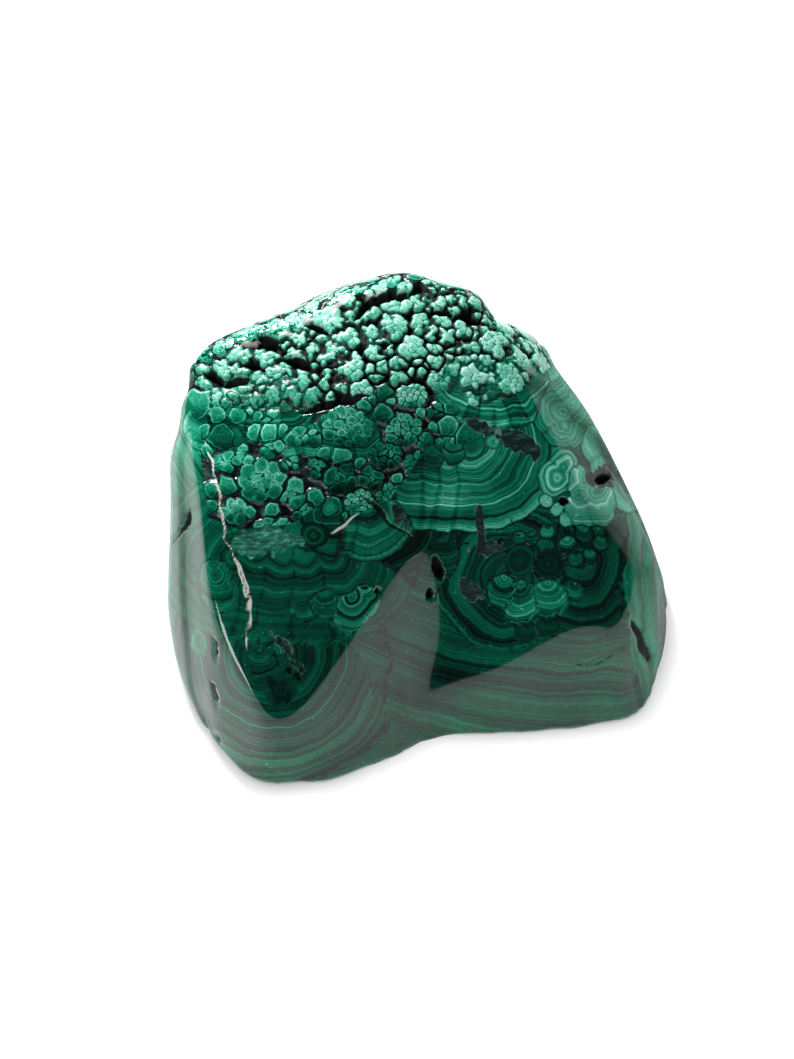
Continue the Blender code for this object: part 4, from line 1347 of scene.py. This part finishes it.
def stone_colour(n):
    """Green knobs and bands, and over them everything that breaks them."""
    slate = slate_colour(n)
    colour = n.ramp(n.mix(n.in_knob, band_value(n), knob_value(n)), GREENS)
    colour = n.mix_colour(n.in_gap, colour, gap_colour(n, slate))
    colour = n.mix_colour(vein_cover(n), colour, SLATE_PALE)
    colour = n.mix_colour(slate_rim_cover(n), colour, RIM_PALE)
    colour = n.mix_colour(n.slate, colour, slate)
    colour = n.mix_colour(n.scratched, colour, scratched_colour(n))
    # Painted shade: pits and crevices turn black from 0.35 mm deep to 0.8 mm deep.
    colour = n.mix_colour(n.hole, colour, CREVICE_BLACK_AND_SHADE)
    colour = n.mix_colour(crack_cover(n), colour, CREVICE_BLACK_AND_SHADE)
    # Glints: painted highlights along edges, over bruised, worn edges.
    return n.mix_colour(n.step(-0.08, 0.12, n.field("glint")), colour, glint_colour(n))


def stone_roughness(n):
    dull = n.times(n.in_gap, n.mix(n.rough, 0.3, 1.0))
    for cover_here in (n.hole, n.times(n.slate, 0.2), n.times(n.scratched, 0.4)):
        dull = n.math("MAXIMUM", dull, cover_here)
    satin = n.mix(n.field("satin"), POLISHED, SATIN)
    return n.mix(dull, n.mix(n.step(0.3, 0.7, n.rough), satin, GROUND_CRUST), BROKEN)


def new_material(name):
    """A new material and its Principled BSDF."""
    material = bpy.data.materials.new(name)
    material.use_nodes = True
    return material, material.node_tree.nodes["Principled BSDF"]


def set_inputs(node, values):
    for name, value in values.items():
        node.inputs[name].default_value = value


def stone_material():
    material, surface = new_material("malachite")
    n = StoneNodes(material.node_tree)
    n.link(stone_colour(n), surface.inputs["Base Color"])
    n.link(stone_roughness(n), surface.inputs["Roughness"])
    surface.inputs["IOR"].default_value = STONE_IOR
    bump = n.new("ShaderNodeBump")
    set_inputs(bump, {"Strength": 0.25, "Distance": 0.2 * MM})
    n.link(n.times(n.grain, n.rough), bump.inputs["Height"])
    n.link(bump.outputs["Normal"], surface.inputs["Normal"])
    return material


# ---- the studio ----

FLOOR_SIZE = 20.0
FLOOR_GREY = 0.3
FLOOR_GLOW = 0.98
CONTACT_REACH = 0.0035      # the floor's glow fades this near to the stone, a painted contact shadow
CONTACT_DEPTH = 0.8         # and loses this share of its strength
LIGHTS = [                  # (name, place, width and height, watts)
    ("overhead", (-0.25, 0.45, 0.75), (0.15, 0.15), 12.0),
    ("ridge strip", (-0.62, -0.63, 0.17), (0.20, 0.5), 3.0),
    ("crest strip", (-0.33, 0.86, 0.52), (0.30, 0.10), 1.1),
]
LIT_PLACE = Vector((0.0, 0.0, 0.03))
WORLD_GREY = (0.04, 0.04, 0.04, 1.0)
WHITE = (1.0, 1.0, 1.0, 1.0)
LENS = 100.0                # mm, with a sensor as wide as SENSOR_WIDTH
SENSOR_WIDTH = 36.0


def floor_material():
    """A glowing white floor whose glow darkens where something stands close, as a painted contact
    shadow.
    """
    material, surface = new_material("floor")
    set_inputs(surface, {"Base Color": (FLOOR_GREY, FLOOR_GREY, FLOOR_GREY, 1.0), "Roughness": 0.9,
                         "Specular IOR Level": 0.0, "Emission Color": WHITE})
    n = Nodes(material.node_tree)
    contact_shadow = n.new("ShaderNodeAmbientOcclusion", samples=4)
    contact_shadow.inputs["Distance"].default_value = CONTACT_REACH
    glow = n.mix(contact_shadow.outputs["AO"], FLOOR_GLOW * (1.0 - CONTACT_DEPTH), FLOOR_GLOW)
    n.link(glow, surface.inputs["Emission Strength"])
    return material


def build_floor():
    work = bmesh.new()
    bmesh.ops.create_grid(work, x_segments=1, y_segments=1, size=FLOOR_SIZE / 2.0)
    mesh = bpy.data.meshes.new("floor")
    work.to_mesh(mesh)
    work.free()
    mesh.materials.append(floor_material())
    add_object("floor", mesh)


def build_lights():
    for name, place, size, watts in LIGHTS:
        light = bpy.data.lights.new(name, "AREA")
        light.shape = "RECTANGLE"
        light.size, light.size_y = size
        light.energy = watts
        holder = add_object(name, light)
        holder.location = place
        away = Vector(place) - LIT_PLACE
        holder.rotation_euler = away.to_track_quat("Z", "Y").to_euler()


def build_world():
    world = bpy.data.worlds.new("studio")
    world.use_nodes = True
    set_inputs(world.node_tree.nodes["Background"], {"Color": WORLD_GREY, "Strength": 1.0})
    bpy.context.scene.world = world
    bpy.context.scene.view_settings.view_transform = "Standard"


def build_camera(shift):
    camera = bpy.data.cameras.new("camera")
    camera.lens = LENS
    camera.sensor_width = SENSOR_WIDTH
    holder = add_object("camera", camera)
    holder.rotation_euler = Matrix([RIGHT, UP, -AHEAD]).transposed().to_euler()
    holder.location = Vector(EYE * MM + shift)
    bpy.context.scene.camera = holder


# ---- scene ----

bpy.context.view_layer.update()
stone, frame_shift = build_stone()
stone.data.materials.append(stone_material())
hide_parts(NODE)
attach(stone, "root")
build_floor()
build_lights()
build_world()
build_camera(frame_shift)
